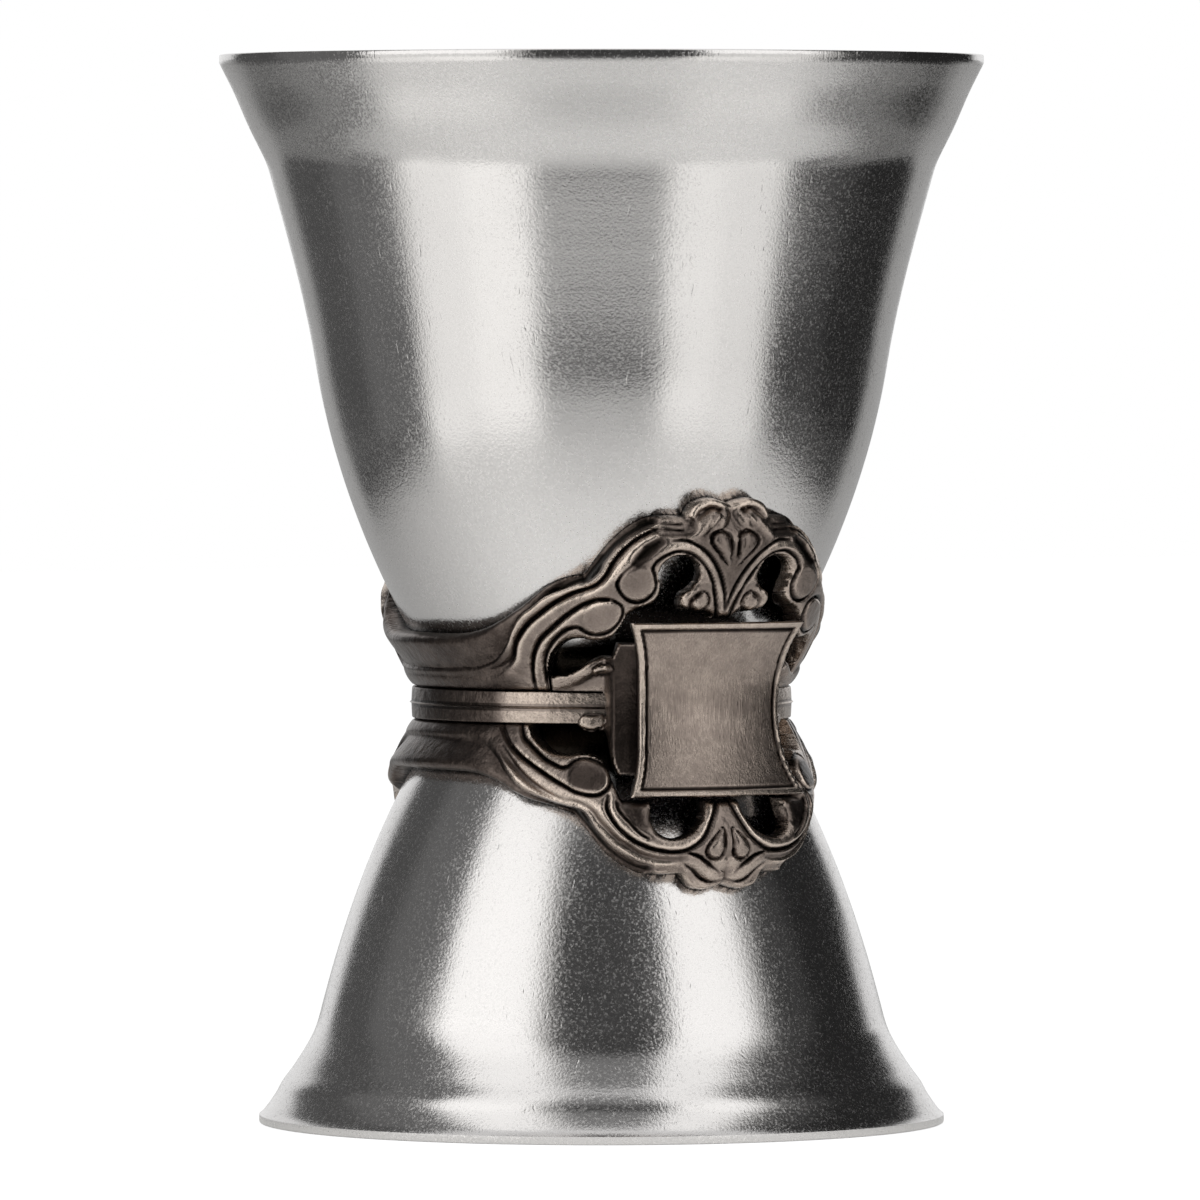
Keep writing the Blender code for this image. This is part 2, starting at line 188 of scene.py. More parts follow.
# Changes along a piece, in degrees: where each starts, and its width
CREST_END = (15.5, 3.0)
SPRIG_EDGE = (25.5, 2.0)
SPRIG_ROOT = (25.0, 3.0)
SHANK_START = (36.0, 20.0)
PLAIN_START = (50.0, 8.0)
RING_SIDE = (57.0, 6.0)
# Turns where the sprigs end, where the fine grid ends and where a collar's half ends, in degrees
SPRIG_END = 43.0
FINE_END = 66.0
HALF_END = 90.0

# Changes near an edge, in millimetres: where each ends, and its width
PRESSED_EDGE = (0.6, 0.5)
HANDLED_AND_HIGHLIGHT_EDGE = (0.28, 0.2)
SHANK_EDGE = (0.5, 0.4)
BORDER_EDGE = (0.5, 0.08)

# Wear, from 0 for black toning to 1 for bright metal
# The collars' outline points are lighter: partly a rubbed edge, partly a painted highlight
EDGE_WEAR_AND_HIGHLIGHT = 0.5
BACK_WEAR = 0.05
SHANK_WEAR = 0.29
PLATE_WEAR = 0.47
TABLET_WEAR = 0.53
RING_WEAR = (0.74, 0.48, 0.66)
TONED_SHARE = 0.4
RUBBED_SHARE = 0.42
HANDLED_AND_HIGHLIGHT_SHARE = 0.2
RING_SIDE_SHARE = 0.36
SHANK_EDGE_SHARE = 0.1
PLATE_EDGE_SHARE = 0.4
BORDER_SHARE = 0.2
BORDER_LINE_SHARE = 0.5
HOLLOW_TONE = 0.6
SIDE_TONE = 0.35
# Rubbing for each millimetre that a place stands over its surroundings, and their reach in cells
OPEN_WEAR = 0.45
FINE_RUB = 0.8
FINE_CELLS = 2
BROAD_RUB = 0.25
BROAD_CELLS = 7


def colour(code):
    """Linear colour of an sRGB hex value."""
    found = []
    for start in (0, 2, 4):
        part = int(code[start:start + 2], 16) / 255
        found.append(part / 12.92 if part <= 0.04045 else ((part + 0.055) / 1.055) ** 2.4)
    return tuple(found)


def smooth_step(t):
    """Ease from 0 to 1, flat at both ends."""
    t = np.clip(t, 0.0, 1.0)
    return t * t * (3 - 2 * t)


def step_from(value, start, width):
    """Ease from 0 to 1 over a width, from a start."""
    return smooth_step((value - start) / width)


def step_to(value, end, width):
    """Ease from 1 to 0 over a width, up to an end."""
    return smooth_step((end - value) / width)


def fade(share):
    """1 in the middle of a stroke, falling straight to 0 at its edge."""
    return np.clip(1 - share, 0.0, 1.0)


def dome(share):
    """1 in the middle of a stroke, falling to 0 at its edge in an arch."""
    return np.clip(1 - share ** 2, 0.0, 1.0)


def band(value, middle, half):
    """1 in the middle of a band, falling to 0 at its edges in an arch."""
    return dome((value - middle) / half)


def bell(value, middle, width):
    """1 in the middle, and less with distance, in a bell curve."""
    return np.exp(-((value - middle) / width) ** 2)


class CupForm:
    """Outer shape of one cup, as radius against rise from its base."""

    def __init__(self, height, lip, flare, radii, slopes):
        rim_radius, crease_radius, bowl_radius = radii
        base_slope, bowl_slope, flare_slope, lip_slope = slopes
        crease_rise = height - lip
        bowl_rise = crease_rise - flare
        self.height = height
        self.crease_rise = crease_rise
        self.lip_top = height - RIM_EDGE
        self.rim_radius = rim_radius
        self.lip_slope = lip_slope
        self.spans = [
            (0.0, CUP_BASE_RADIUS, base_slope, bowl_rise, bowl_radius, bowl_slope),
            (bowl_rise, bowl_radius, bowl_slope, crease_rise, crease_radius, flare_slope),
            (crease_rise, crease_radius, lip_slope, self.lip_top, rim_radius, lip_slope),
        ]

    def sheet_radius(self, rise):
        """Outer radius of the sheet, before its rim is ground to a straight edge."""
        rise = np.asarray(rise, float)
        found = self.rim_radius + (rise - self.lip_top) * self.lip_slope
        for x0, y0, slope0, x1, y1, slope1 in reversed(self.spans):
            length = x1 - x0
            t = (rise - x0) / length
            start = (1 + 2 * t) * (1 - t) ** 2 * y0 + t * (1 - t) ** 2 * length * slope0
            end = t * t * (3 - 2 * t) * y1 - t * t * (1 - t) * length * slope1
            found = np.where(rise <= x1, start + end, found)
        return found

    def soft_radius(self, rise, soften):
        """Outer radius with the crease rounded over, as a spun sheet has it."""
        rise = np.asarray(rise, float)
        steps = np.linspace(-1.0, 1.0, 9) * soften
        room = np.clip(np.minimum(rise, self.height - rise) / soften, 0.0, 1.0)
        return np.mean([self.sheet_radius(rise + step * room) for step in steps], axis=0)

    def soft_inner(self, rise, soften, wall):
        """Inner radius, one wall inside the rounded outer face."""
        step = 0.0001
        slope = (self.soft_radius(rise + step, soften) - self.soft_radius(rise - step, soften)) / (2 * step)
        return self.soft_radius(rise, soften) - wall * np.sqrt(1 + slope * slope)


UPPER_FORM = CupForm(
    height=0.04805, lip=0.00807, flare=0.01493,
    radii=(0.02865, 0.02509, 0.02145), slopes=(0.64, 0.16, 0.28, 0.47))
LOWER_FORM = CupForm(
    height=LOWER_HEIGHT, lip=0.00405, flare=0.0036,
    radii=(0.0257, 0.0232, 0.02126), slopes=(0.66, 0.25, 0.62, 0.74))


def cup_face(form, offset):
    """Outer radius of a cup at an offset from the joint plane."""
    return form.sheet_radius(np.maximum(np.abs(offset) - JOINT_HALF, 0.0))


def length_setting(name, description, default):
    """A length that a user would change."""
    return bpy.props.FloatProperty(name=name, description=description, default=default, unit="LENGTH")


def colour_setting(name, description, code):
    """A colour that a user would change."""
    return bpy.props.FloatVectorProperty(
        name=name, description=description, default=colour(code), subtype="COLOR")


class JiggerSettings(bpy.types.PropertyGroup):
    """Sizes and colours that a user would change."""

    cup_wall: length_setting("Cup wall", "Thickness of the spun sheet", 0.0008)
    crease_soften: length_setting(
        "Crease rounding", "Half width of the rounded crease under a lip", 0.0007)
    rim_round: length_setting("Rim rounding", "Radius left on the ground rim's corners", 0.00012)
    spin_ripple: length_setting(
        "Spinning ripple", "Height of the faint rings that the spinning tool leaves", 0.0000015)
    foot_bend: length_setting(
        "Foot bend", "How far the lower lip's section wanders from straight", 0.00005)
    lip_fold: bpy.props.FloatProperty(
        name="Lip fold", description="How much steeper the upper lip is at its two ends than between",
        default=0.03, subtype="FACTOR")
    cup_segments: bpy.props.IntProperty(
        name="Cup segments", description="Facets round a cup", default=240, subtype="UNSIGNED")
    relief_cell: length_setting("Relief cell", "Grid step of the cast relief", 0.00011)
    steel_colour: colour_setting("Steel", "Colour of the bare steel", "c9c7c6")
    pewter_bright: colour_setting("Burnished pewter", "Colour of rubbed edges", "c4b6aa")
    pewter_mid: colour_setting("Worn pewter", "Colour of open faces", "7e736c")
    pewter_dark: colour_setting("Patina", "Colour of toned faces", "433b37")
    # This colour is also painted on the cups round the joint, as painted shade behind the collars
    pewter_black: colour_setting("Deep patina", "Colour left in the recesses", "15120f")
    braze_colour: colour_setting("Braze", "Colour of the brazing filler", "d8d0bd")
    floor_colour: colour_setting("Floor", "Colour of the floor", "f4f4f3")
    camera_azimuth: bpy.props.FloatProperty(
        name="Camera azimuth", description="Angle of the camera round the axis, from the front",
        default=math.radians(-28.4), subtype="ANGLE")
    camera_distance: length_setting("Camera distance", "From the axis to the camera", 0.937)
    camera_height: length_setting("Camera height", "Eye height over the floor", 0.0648)


def settings():
    """The scene's own settings."""
    return bpy.context.scene.jigger


# Materials


def add_node(tree, kind, inputs=None, **values):
    """Add a node, set its values, and give its inputs a value or a link from another node's output."""
    node = tree.nodes.new(kind)
    for name, value in values.items():
        setattr(node, name, value)
    for name, value in (inputs or {}).items():
        if isinstance(value, bpy.types.NodeSocket):
            tree.links.new(value, node.inputs[name])
        else:
            node.inputs[name].default_value = value
    return node


def new_material(name):
    """An empty material with a metal shader, and its tree."""
    material = bpy.data.materials.new(name)
    material.use_nodes = True
    shader = material.node_tree.nodes["Principled BSDF"]
    shader.inputs["Metallic"].default_value = 1.0
    return material, material.node_tree, shader


def set_ramp(ramp, stops):
    """Give a colour ramp its stops, as (place, linear colour)."""
    elements = ramp.color_ramp.elements
    while len(elements) > 1:
        elements.remove(elements[-1])
    for index, (place, shade) in enumerate(stops):
        element = elements[0] if index == 0 else elements.new(place)
        element.position = place
        element.color = (*shade, 1.0)


def add_noise(tree, place, size, detail, roughness=0.5):
    """Noise with marks of about the given size."""
    noise = add_node(tree, "ShaderNodeTexNoise", {
        "Vector": place, "Scale": 1 / size, "Detail": detail, "Roughness": roughness})
    return noise.outputs["Fac"]


def add_mapping(tree, place, scale, rotation=(0.0, 0.0, 0.0)):
    """Places stretched along their axes."""
    mapping = add_node(tree, "ShaderNodeMapping", {"Vector": place, "Rotation": rotation, "Scale": scale})
    return mapping.outputs["Vector"]


def add_range(tree, value, start, end, low, high):
    """A value from one range moved to another, and held at its ends."""
    moved = add_node(tree, "ShaderNodeMapRange", {
        "Value": value, "From Min": start, "From Max": end, "To Min": low, "To Max": high})
    return moved.outputs["Result"]


def add_math(tree, operation, *values):
    """One step of arithmetic on values or other nodes' outputs."""
    return add_node(tree, "ShaderNodeMath", dict(enumerate(values)), operation=operation).outputs[0]


def add_bump(tree, height, strength, distance, under=None, **values):
    """A bump, over another one where that is given."""
    bump = add_node(tree, "ShaderNodeBump", {
        "Height": height, "Strength": strength, "Distance": distance}, **values)
    if under is not None:
        tree.links.new(under, bump.inputs["Normal"])
    return bump.outputs["Normal"]


def add_mix(tree, share, first, second):
    """A blend of two colours."""
    return add_node(tree, "ShaderNodeMix", {0: share, 6: first, 7: second}, data_type="RGBA").outputs[2]


def add_attribute(tree, name):
    """A value that is stored on the piece's points."""
    stored = add_node(tree, "ShaderNodeAttribute", attribute_name=name, attribute_type="GEOMETRY")
    return stored.outputs["Fac"]


def link_surface(tree, shader, **outputs):
    """Link outputs to the shader's inputs, which are named with an underscore for a space."""
    for name, output in outputs.items():
        tree.links.new(output, shader.inputs[name.replace("_", " ").title()])


def satin_steel():
    """Spun stainless steel, tumbled to a satin: soft broad reflections with a fine bright speckle,
    faint rings from the spinning tool, and a few hair scratches."""
    name = "satin_spun_stainless_steel"
    if name in bpy.data.materials:
        return bpy.data.materials[name]
    chosen = settings()
    material, tree, shader = new_material(name)
    place = add_node(tree, "ShaderNodeTexCoord").outputs["Object"]
    # Tumbling leaves a close skin of marks, about 0.2 mm across
    grit = add_noise(tree, place, 0.0002, 2.0, 0.6)
    # Clouding of the finish, about 6 mm across
    cloud = add_noise(tree, place, 0.006, 3.0, 0.55)
    # Spinning rings, about 0.9 mm apart: the noise is squeezed along the height alone
    rings = add_noise(tree, add_mapping(tree, place, (8.0, 8.0, 1 / 0.0009)), 1.0, 3.0, 0.6)
    # Hair scratches, about 3 mm long and 0.08 mm wide
    strands = add_mapping(tree, place, (1 / 0.0003, 1 / 0.0003, 1 / 0.006), (0.5, 0.3, 0.9))
    hair = add_range(tree, add_noise(tree, strands, 1.0, 1.0, 0.4), 0.70, 0.80, 0.0, 1.0)
    bump_rings = add_bump(tree, rings, 1.0, 0.000005)
    bump_hair = add_bump(tree, hair, 0.6, 0.000012, bump_rings, invert=True)
    bump = add_bump(tree, grit, 1.0, 0.000012, bump_hair)
    body_rough = add_range(tree, cloud, 0.3, 0.7, 0.13, 0.19)
    # The deepest marks are dull, and pepper a dark reflection with light
    speck = add_range(tree, grit, 0.48, 0.72, 0.0, 0.2)
    shades = [[min(share * part, 1.0) for part in chosen.steel_colour] for share in (0.8, 1.16)]
    tint = add_mix(tree, grit, (*shades[0], 1.0), (*shades[1], 1.0))
    height = add_node(tree, "ShaderNodeSeparateXYZ", {"Vector": place}).outputs["Z"]
    reach = add_math(tree, "ABSOLUTE", add_math(tree, "SUBTRACT", height, JOINT_HEIGHT))
    # The upper lip is scoured duller than the body, and its ground rim is left bright
    dull = add_range(tree, reach, *LIP_DULL, 0.0, 0.06)
    ground = add_range(tree, reach, *RIM_GROUND, 0.0, 0.12)
    scoured = add_math(tree, "SUBTRACT", dull, ground)
    rough = add_math(tree, "ADD", add_math(tree, "ADD", body_rough, speck), scoured)
    # Painted shade: the steel round the joint, behind the collars and their openings, is painted nearly
    # black
    unshaded = add_attribute(tree, "unshaded")
    darkened = add_mix(tree, unshaded, (*chosen.pewter_black, 1.0), tint)
    link_surface(tree, shader, base_color=darkened, roughness=rough, normal=bump)
    return material


def antiqued_pewter(name, grain_stretch, grain_height, skin_height):
    """Cast pewter, toned black and rubbed back: nearly black recesses, warm grey faces and bright edges.

    How far a place is rubbed comes from the piece's own wear attribute, which on the collars also holds a
    painted highlight along their outer edge."""
    if name in bpy.data.materials:
        return bpy.data.materials[name]
    chosen = settings()
    material, tree, shader = new_material(name)
    place = add_node(tree, "ShaderNodeTexCoord").outputs["Object"]
    wear = add_attribute(tree, "wear")
    # Sand grain of the casting, about 0.16 mm; a stretched grain is the mark of a brush
    grain = add_noise(tree, add_mapping(tree, place, grain_stretch), 0.00016, 3.0, 0.65)
    # Patches where the toning held or was rubbed through, about 1.5 mm across
    patch = add_noise(tree, place, 0.0015, 4.0, 0.6)
    # Casting pits, about 0.5 mm apart
    pits = add_node(tree, "ShaderNodeTexVoronoi", {"Vector": place, "Scale": 1 / 0.0005, "Randomness": 1.0})
    pit = add_range(tree, pits.outputs["Distance"], 0.05, 0.25, 0.0, 1.0)
    # The rubbing catches the tops of the grain, so the brightest places are the most broken
    broken = add_range(tree, wear, 0.45, 0.8, 0.16, 0.8)
    grain_shift = add_math(tree, "MULTIPLY", add_math(tree, "SUBTRACT", grain, 0.5), broken)
    patch_shift = add_math(tree, "MULTIPLY_ADD", patch, 0.24, grain_shift)
    level = add_math(tree, "SUBTRACT", add_math(tree, "ADD", wear, patch_shift), 0.12)
    shade = add_node(tree, "ShaderNodeValToRGB", {"Fac": level})
    set_ramp(shade, (
        (0.06, chosen.pewter_black), (0.27, chosen.pewter_dark),
        (0.48, chosen.pewter_mid), (0.86, chosen.pewter_bright)))
    rough = add_range(tree, level, 0.1, 0.9, 0.34, 0.22)
    # Uneven skin of a hand-poured casting, about 0.7 mm across
    bump_skin = add_bump(tree, add_noise(tree, place, 0.0007, 2.0), 1.0, skin_height)
    bump_pit = add_bump(tree, pit, 0.5, 0.00002, bump_skin)
    bump = add_bump(tree, grain, 1.0, grain_height, bump_pit)
    link_surface(tree, shader, base_color=shade.outputs["Color"], roughness=rough, normal=bump)
    return material


def cast_pewter():
    """The collars', plates' and ring's pewter, as it leaves a sand mould."""
    return antiqued_pewter("antiqued_cast_pewter", (1.0, 1.0, 1.0), 0.00003, 0.00009)


def brushed_pewter():
    """The tablets' pewter, brushed up and down, so its grain runs 12 times longer in height."""
    return antiqued_pewter("antiqued_brushed_pewter", (1.6, 1.6, 0.13), 0.00003, 0.00004)


def silver_braze():
    """Silver brazing filler: a pale, slightly yellow metal with a frozen, finely wrinkled skin."""
    material, tree, shader = new_material("silver_brazing_filler")
    place = add_node(tree, "ShaderNodeTexCoord").outputs["Object"]
    # Wrinkles about 0.6 mm apart
    skin = add_noise(tree, place, 0.0006, 3.0)
    bump = add_bump(tree, skin, 0.6, 0.00005)
    shader.inputs["Base Color"].default_value = (*settings().braze_colour, 1.0)
    link_surface(tree, shader, roughness=add_range(tree, skin, 0.3, 0.7, 0.35, 0.55), normal=bump)
    return material


# Making pieces


def place_object(name, data):
    """Put data in the scene as a new object."""
    holder = bpy.data.objects.new(name, data)
    bpy.context.scene.collection.objects.link(holder)
    return holder


def finish_piece(piece, node):
    """Put a finished piece in the CAD node's place."""
    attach(piece, "root")
    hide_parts(node)


def turning_tree():
    """Geometry nodes that sweep a (radius, height) line round the axis."""
    if "turned_profile" in bpy.data.node_groups:
        return bpy.data.node_groups["turned_profile"]
    tree = bpy.data.node_groups.new("turned_profile", "GeometryNodeTree")
    face = tree.interface
    face.new_socket("Profile", in_out="INPUT", socket_type="NodeSocketGeometry")
    segments = face.new_socket("Segments", in_out="INPUT", socket_type="NodeSocketInt")
    segments.default_value = 240
    face.new_socket("Finish", in_out="INPUT", socket_type="NodeSocketMaterial")
    face.new_socket("Turned", in_out="OUTPUT", socket_type="NodeSocketGeometry")
    hub = 0.001
    source = add_node(tree, "NodeGroupInput")
    line = add_node(tree, "GeometryNodeMeshToCurve", {"Mesh": source.outputs["Profile"]})
    # The sweep lays a profile's own Y downwards, so heights are turned over first
    shifted = add_node(tree, "GeometryNodeTransform", {
        "Geometry": line.outputs["Curve"], "Translation": (-hub, 0.0, 0.0), "Scale": (1.0, -1.0, 1.0)})
    circle = add_node(tree, "GeometryNodeCurvePrimitiveCircle", {
        "Resolution": source.outputs["Segments"], "Radius": hub}, mode="RADIUS")
    upright = add_node(tree, "GeometryNodeSetCurveNormal", {"Curve": circle.outputs["Curve"]}, mode="Z_UP")
    swept = add_node(tree, "GeometryNodeCurveToMesh", {
        "Curve": upright.outputs["Curve"], "Profile Curve": shifted.outputs["Geometry"]})
    closed = add_node(tree, "GeometryNodeMergeByDistance", {
        "Geometry": swept.outputs["Mesh"], "Distance": MERGE_DISTANCE})
    real = add_node(tree, "GeometryNodeRealizeInstances", {"Geometry": closed.outputs["Geometry"]})
    dressed = add_node(tree, "GeometryNodeSetMaterial", {
        "Geometry": real.outputs["Geometry"], "Material": source.outputs["Finish"]})
    add_node(tree, "NodeGroupOutput", {"Turned": dressed.outputs["Geometry"]})
    return tree


def socket_key(tree, name):
    """Identifier of a tree's input."""
    for item in tree.interface.items_tree:
        if item.name == name and item.in_out == "INPUT":
            return item.identifier
    raise RuntimeError("the tree has no input named " + name)


def turn_piece(name, profile, closed, material, sharp_angle):
    """A plain mesh turned from (radius, height) points."""
    mesh = bpy.data.meshes.new(name)
    edges = [(index, index + 1) for index in range(len(profile) - 1)]
    if closed:
        edges.append((len(profile) - 1, 0))
    mesh.from_pydata([(radius, height, 0.0) for radius, height in profile], edges, [])
    piece = place_object(name, mesh)
    tree = turning_tree()
    modifier = piece.modifiers.new("turn", "NODES")
    modifier.node_group = tree
    modifier[socket_key(tree, "Segments")] = settings().cup_segments
    modifier[socket_key(tree, "Finish")] = material
    bpy.context.view_layer.update()
    turned = bpy.data.meshes.new_from_object(piece.evaluated_get(bpy.context.evaluated_depsgraph_get()))
    piece.modifiers.remove(modifier)
    piece.data = turned
    turned.name = name
    bpy.data.meshes.remove(mesh)
    close_mesh(turned, sharp_angle)
    return piece


def close_mesh(mesh, sharp_angle):
    """Merge doubles, point the faces outwards and shade smooth but for sharp edges."""
    body = bmesh.new()
    body.from_mesh(mesh)
    bmesh.ops.remove_doubles(body, verts=body.verts, dist=MERGE_DISTANCE)
    bmesh.ops.dissolve_degenerate(body, edges=body.edges, dist=MERGE_DISTANCE / 4)
    bmesh.ops.recalc_face_normals(body, faces=body.faces)
    body.to_mesh(mesh)
    body.free()
    mesh.shade_smooth()
    mesh.set_sharp_from_angle(angle=sharp_angle)


def set_share(mesh, name, values):
    """Store a value from 0 to 1 on each point, for the piece's material."""
    attribute = mesh.attributes.get(name) or mesh.attributes.new(name, "FLOAT", "POINT")
    attribute.data.foreach_set("value", np.asarray(values, np.float32))


def mesh_places(mesh):
    """A mesh's points, as rows of x, y and z."""
    places = np.zeros(len(mesh.vertices) * 3)
    mesh.vertices.foreach_get("co", places)
    return places.reshape(-1, 3)


def unshaded_share(mesh, form):
    """How free each point of a cup is of the painted shade: only its outside is painted dark, round the
    joint.
    """
    places = mesh_places(mesh)
    offset = np.abs(places[:, 2] - JOINT_HEIGHT)
    radius = np.hypot(places[:, 0], places[:, 1])
    outside = radius > cup_face(form, offset) - settings().cup_wall / 2
    return np.where(outside, step_from(offset, SHADED_REACH, SHADED_FADE), 1.0)


def cup_profile(form, side):
    """Outline of a cup's sheet, from the middle of its floor to the middle of its base."""
    chosen = settings()
    wall, soften, corner = chosen.cup_wall, chosen.crease_soften, chosen.rim_round
    fillet_top = CUP_FLOOR + FLOOR_FILLET
    inside = [(0.0, CUP_FLOOR)]
    foot = float(form.soft_inner(CUP_FLOOR, soften, wall))
    foot_top = float(form.soft_inner(fillet_top, soften, wall))
    for t in np.linspace(0.0, 1.0, FILLET_POINTS)[:-1]:
        radius = (1 - t) ** 2 * (foot - FLOOR_FILLET) + 2 * t * (1 - t) * foot + t * t * foot_top
        inside.append((radius, CUP_FLOOR + t * t * FLOOR_FILLET))
    wall_rises = np.linspace(fillet_top, form.height - corner, INSIDE_POINTS)
    inside += list(zip(form.soft_inner(wall_rises, soften, wall), wall_rises))
    lip_inside = inside[-1][0]
    turns = np.linspace(0.0, math.pi / 2, CORNER_POINTS)
    rim = []
    for turn in turns[1:]:
        rim.append((lip_inside + corner * (1 - math.cos(turn)), form.height - corner * (1 - math.sin(turn))))
    for turn in turns:
        rim.append((form.rim_radius - corner * (1 - math.sin(turn)),
                    form.height - corner * (1 - math.cos(turn))))
    outer_rises = np.linspace(form.lip_top, 0.0, OUTSIDE_POINTS)
    ripple = chosen.spin_ripple * np.sin(outer_rises / RIPPLE_LENGTH)
    ripple *= smooth_step(outer_rises / RIPPLE_START)
    lip = form.lip_top - form.crease_rise
    along_lip = np.clip((outer_rises - form.crease_rise) / lip, 0.0, 1.0)
    if side > 0:
        # The upper lip is a little steeper at its two ends than between
        bend = chosen.lip_fold * lip * (along_lip - step_from(along_lip, *LIP_TURN))
    else:
        # The lower lip swells near the crease, and sags from there to the rim
        sag = step_from(along_lip, *SAG_START) * step_to(along_lip, *SAG_END)
        bend = chosen.foot_bend * (np.sin(2 * math.pi * along_lip) - 2 * sag)
    outer = form.soft_radius(outer_rises, soften) + ripple + bend
    outer = np.minimum(outer, form.rim_radius)
    outside = list(zip(outer, outer_rises)) + [(0.0, 0.0)]
    base = JOINT_HEIGHT + side * JOINT_HALF
    return [(float(radius), float(base + side * rise)) for radius, rise in inside + rim + outside]


def plate_back(offset):
    """Radius of a plate's back, clear of the ring's ridge and of both cups."""
    cups = np.maximum(cup_face(UPPER_FORM, offset), cup_face(LOWER_FORM, offset))
    return np.maximum(RING_RADIUS + RIDGE_RISE, cups) + FIT_GAP


def plate_front(offset):
    """Radius of a plate's front, hollowed like the waist."""
    return plate_back(0.0) + PLATE_THICKNESS + TABLET_FLARE * (offset / TABLET_HALF_HEIGHT) ** 2


def smooth_run(points, pieces=6):
    """Points along a Catmull-Rom curve through the given ones, whatever they hold."""
    points = np.asarray(points, float)
    padded = np.vstack([points[:1], points, points[-1:]])
    found = [points[0]]
    for p0, p1, p2, p3 in zip(padded, padded[1:], padded[2:], padded[3:]):
        for piece in range(1, pieces + 1):
            t = piece / pieces
            found.append(((-t + 2 * t ** 2 - t ** 3) * p0 + (2 - 5 * t ** 2 + 3 * t ** 3) * p1
                          + (t + 4 * t ** 2 - 3 * t ** 3) * p2 + (t ** 3 - t ** 2) * p3) / 2)
    return np.array(found)


def pattern_run(points):
    """A smooth line in pattern millimetres from points whose first value is an angle in degrees.

    A point takes the values that it leaves out from the point before it."""
    full = [points[0]]
    for point in points[1:]:
        full.append((*point, *full[-1][len(point):]))
    run = np.array(full, float)
    run[:, 0] *= MM_PER_DEGREE
    return smooth_run(run) if len(run) > 2 else run


def mirrored(left):
    """A closed outline from its left half."""
    return np.vstack([left, (left[::-1] * (-1, 1))[1:-1]])


def join_runs(runs):
    """One line from runs that follow on, each smooth in itself."""
    parts = [pattern_run(run)[:, :2] for run in runs]
    return np.vstack([parts[0]] + [part[1:] for part in parts[1:]])


def line_distance(u, v, line, closed=False):
    """Distance to a line in the pattern, and the nearest point on it."""
    ends = np.vstack([line, line[:1]]) if closed else line
    best = np.full(u.shape, FAR)
    near_u, near_v = np.zeros(u.shape), np.zeros(u.shape)
    for (u0, v0), (u1, v1) in zip(ends[:-1, :2], ends[1:, :2]):
        du, dv = u1 - u0, v1 - v0
        length = du * du + dv * dv
        if length < NEAR:
            continue
        t = np.clip(((u - u0) * du + (v - v0) * dv) / length, 0.0, 1.0)
        pu, pv = u0 + t * du, v0 + t * dv
        distance = (u - pu) ** 2 + (v - pv) ** 2
        closer = distance < best
        best = np.where(closer, distance, best)
        near_u = np.where(closer, pu, near_u)
        near_v = np.where(closer, pv, near_v)
    return np.sqrt(best), near_u, near_v


def inside_line(u, v, line):
    """Whether points are inside a closed line."""
    found = np.zeros(u.shape, bool)
    for (u0, v0), (u1, v1) in zip(line, np.roll(line, -1, axis=0)):
        if v0 == v1:
            continue
        crosses = (v0 > v) != (v1 > v)
        found ^= crosses & (u < (u1 - u0) * (v - v0) / (v1 - v0) + u0)
    return found


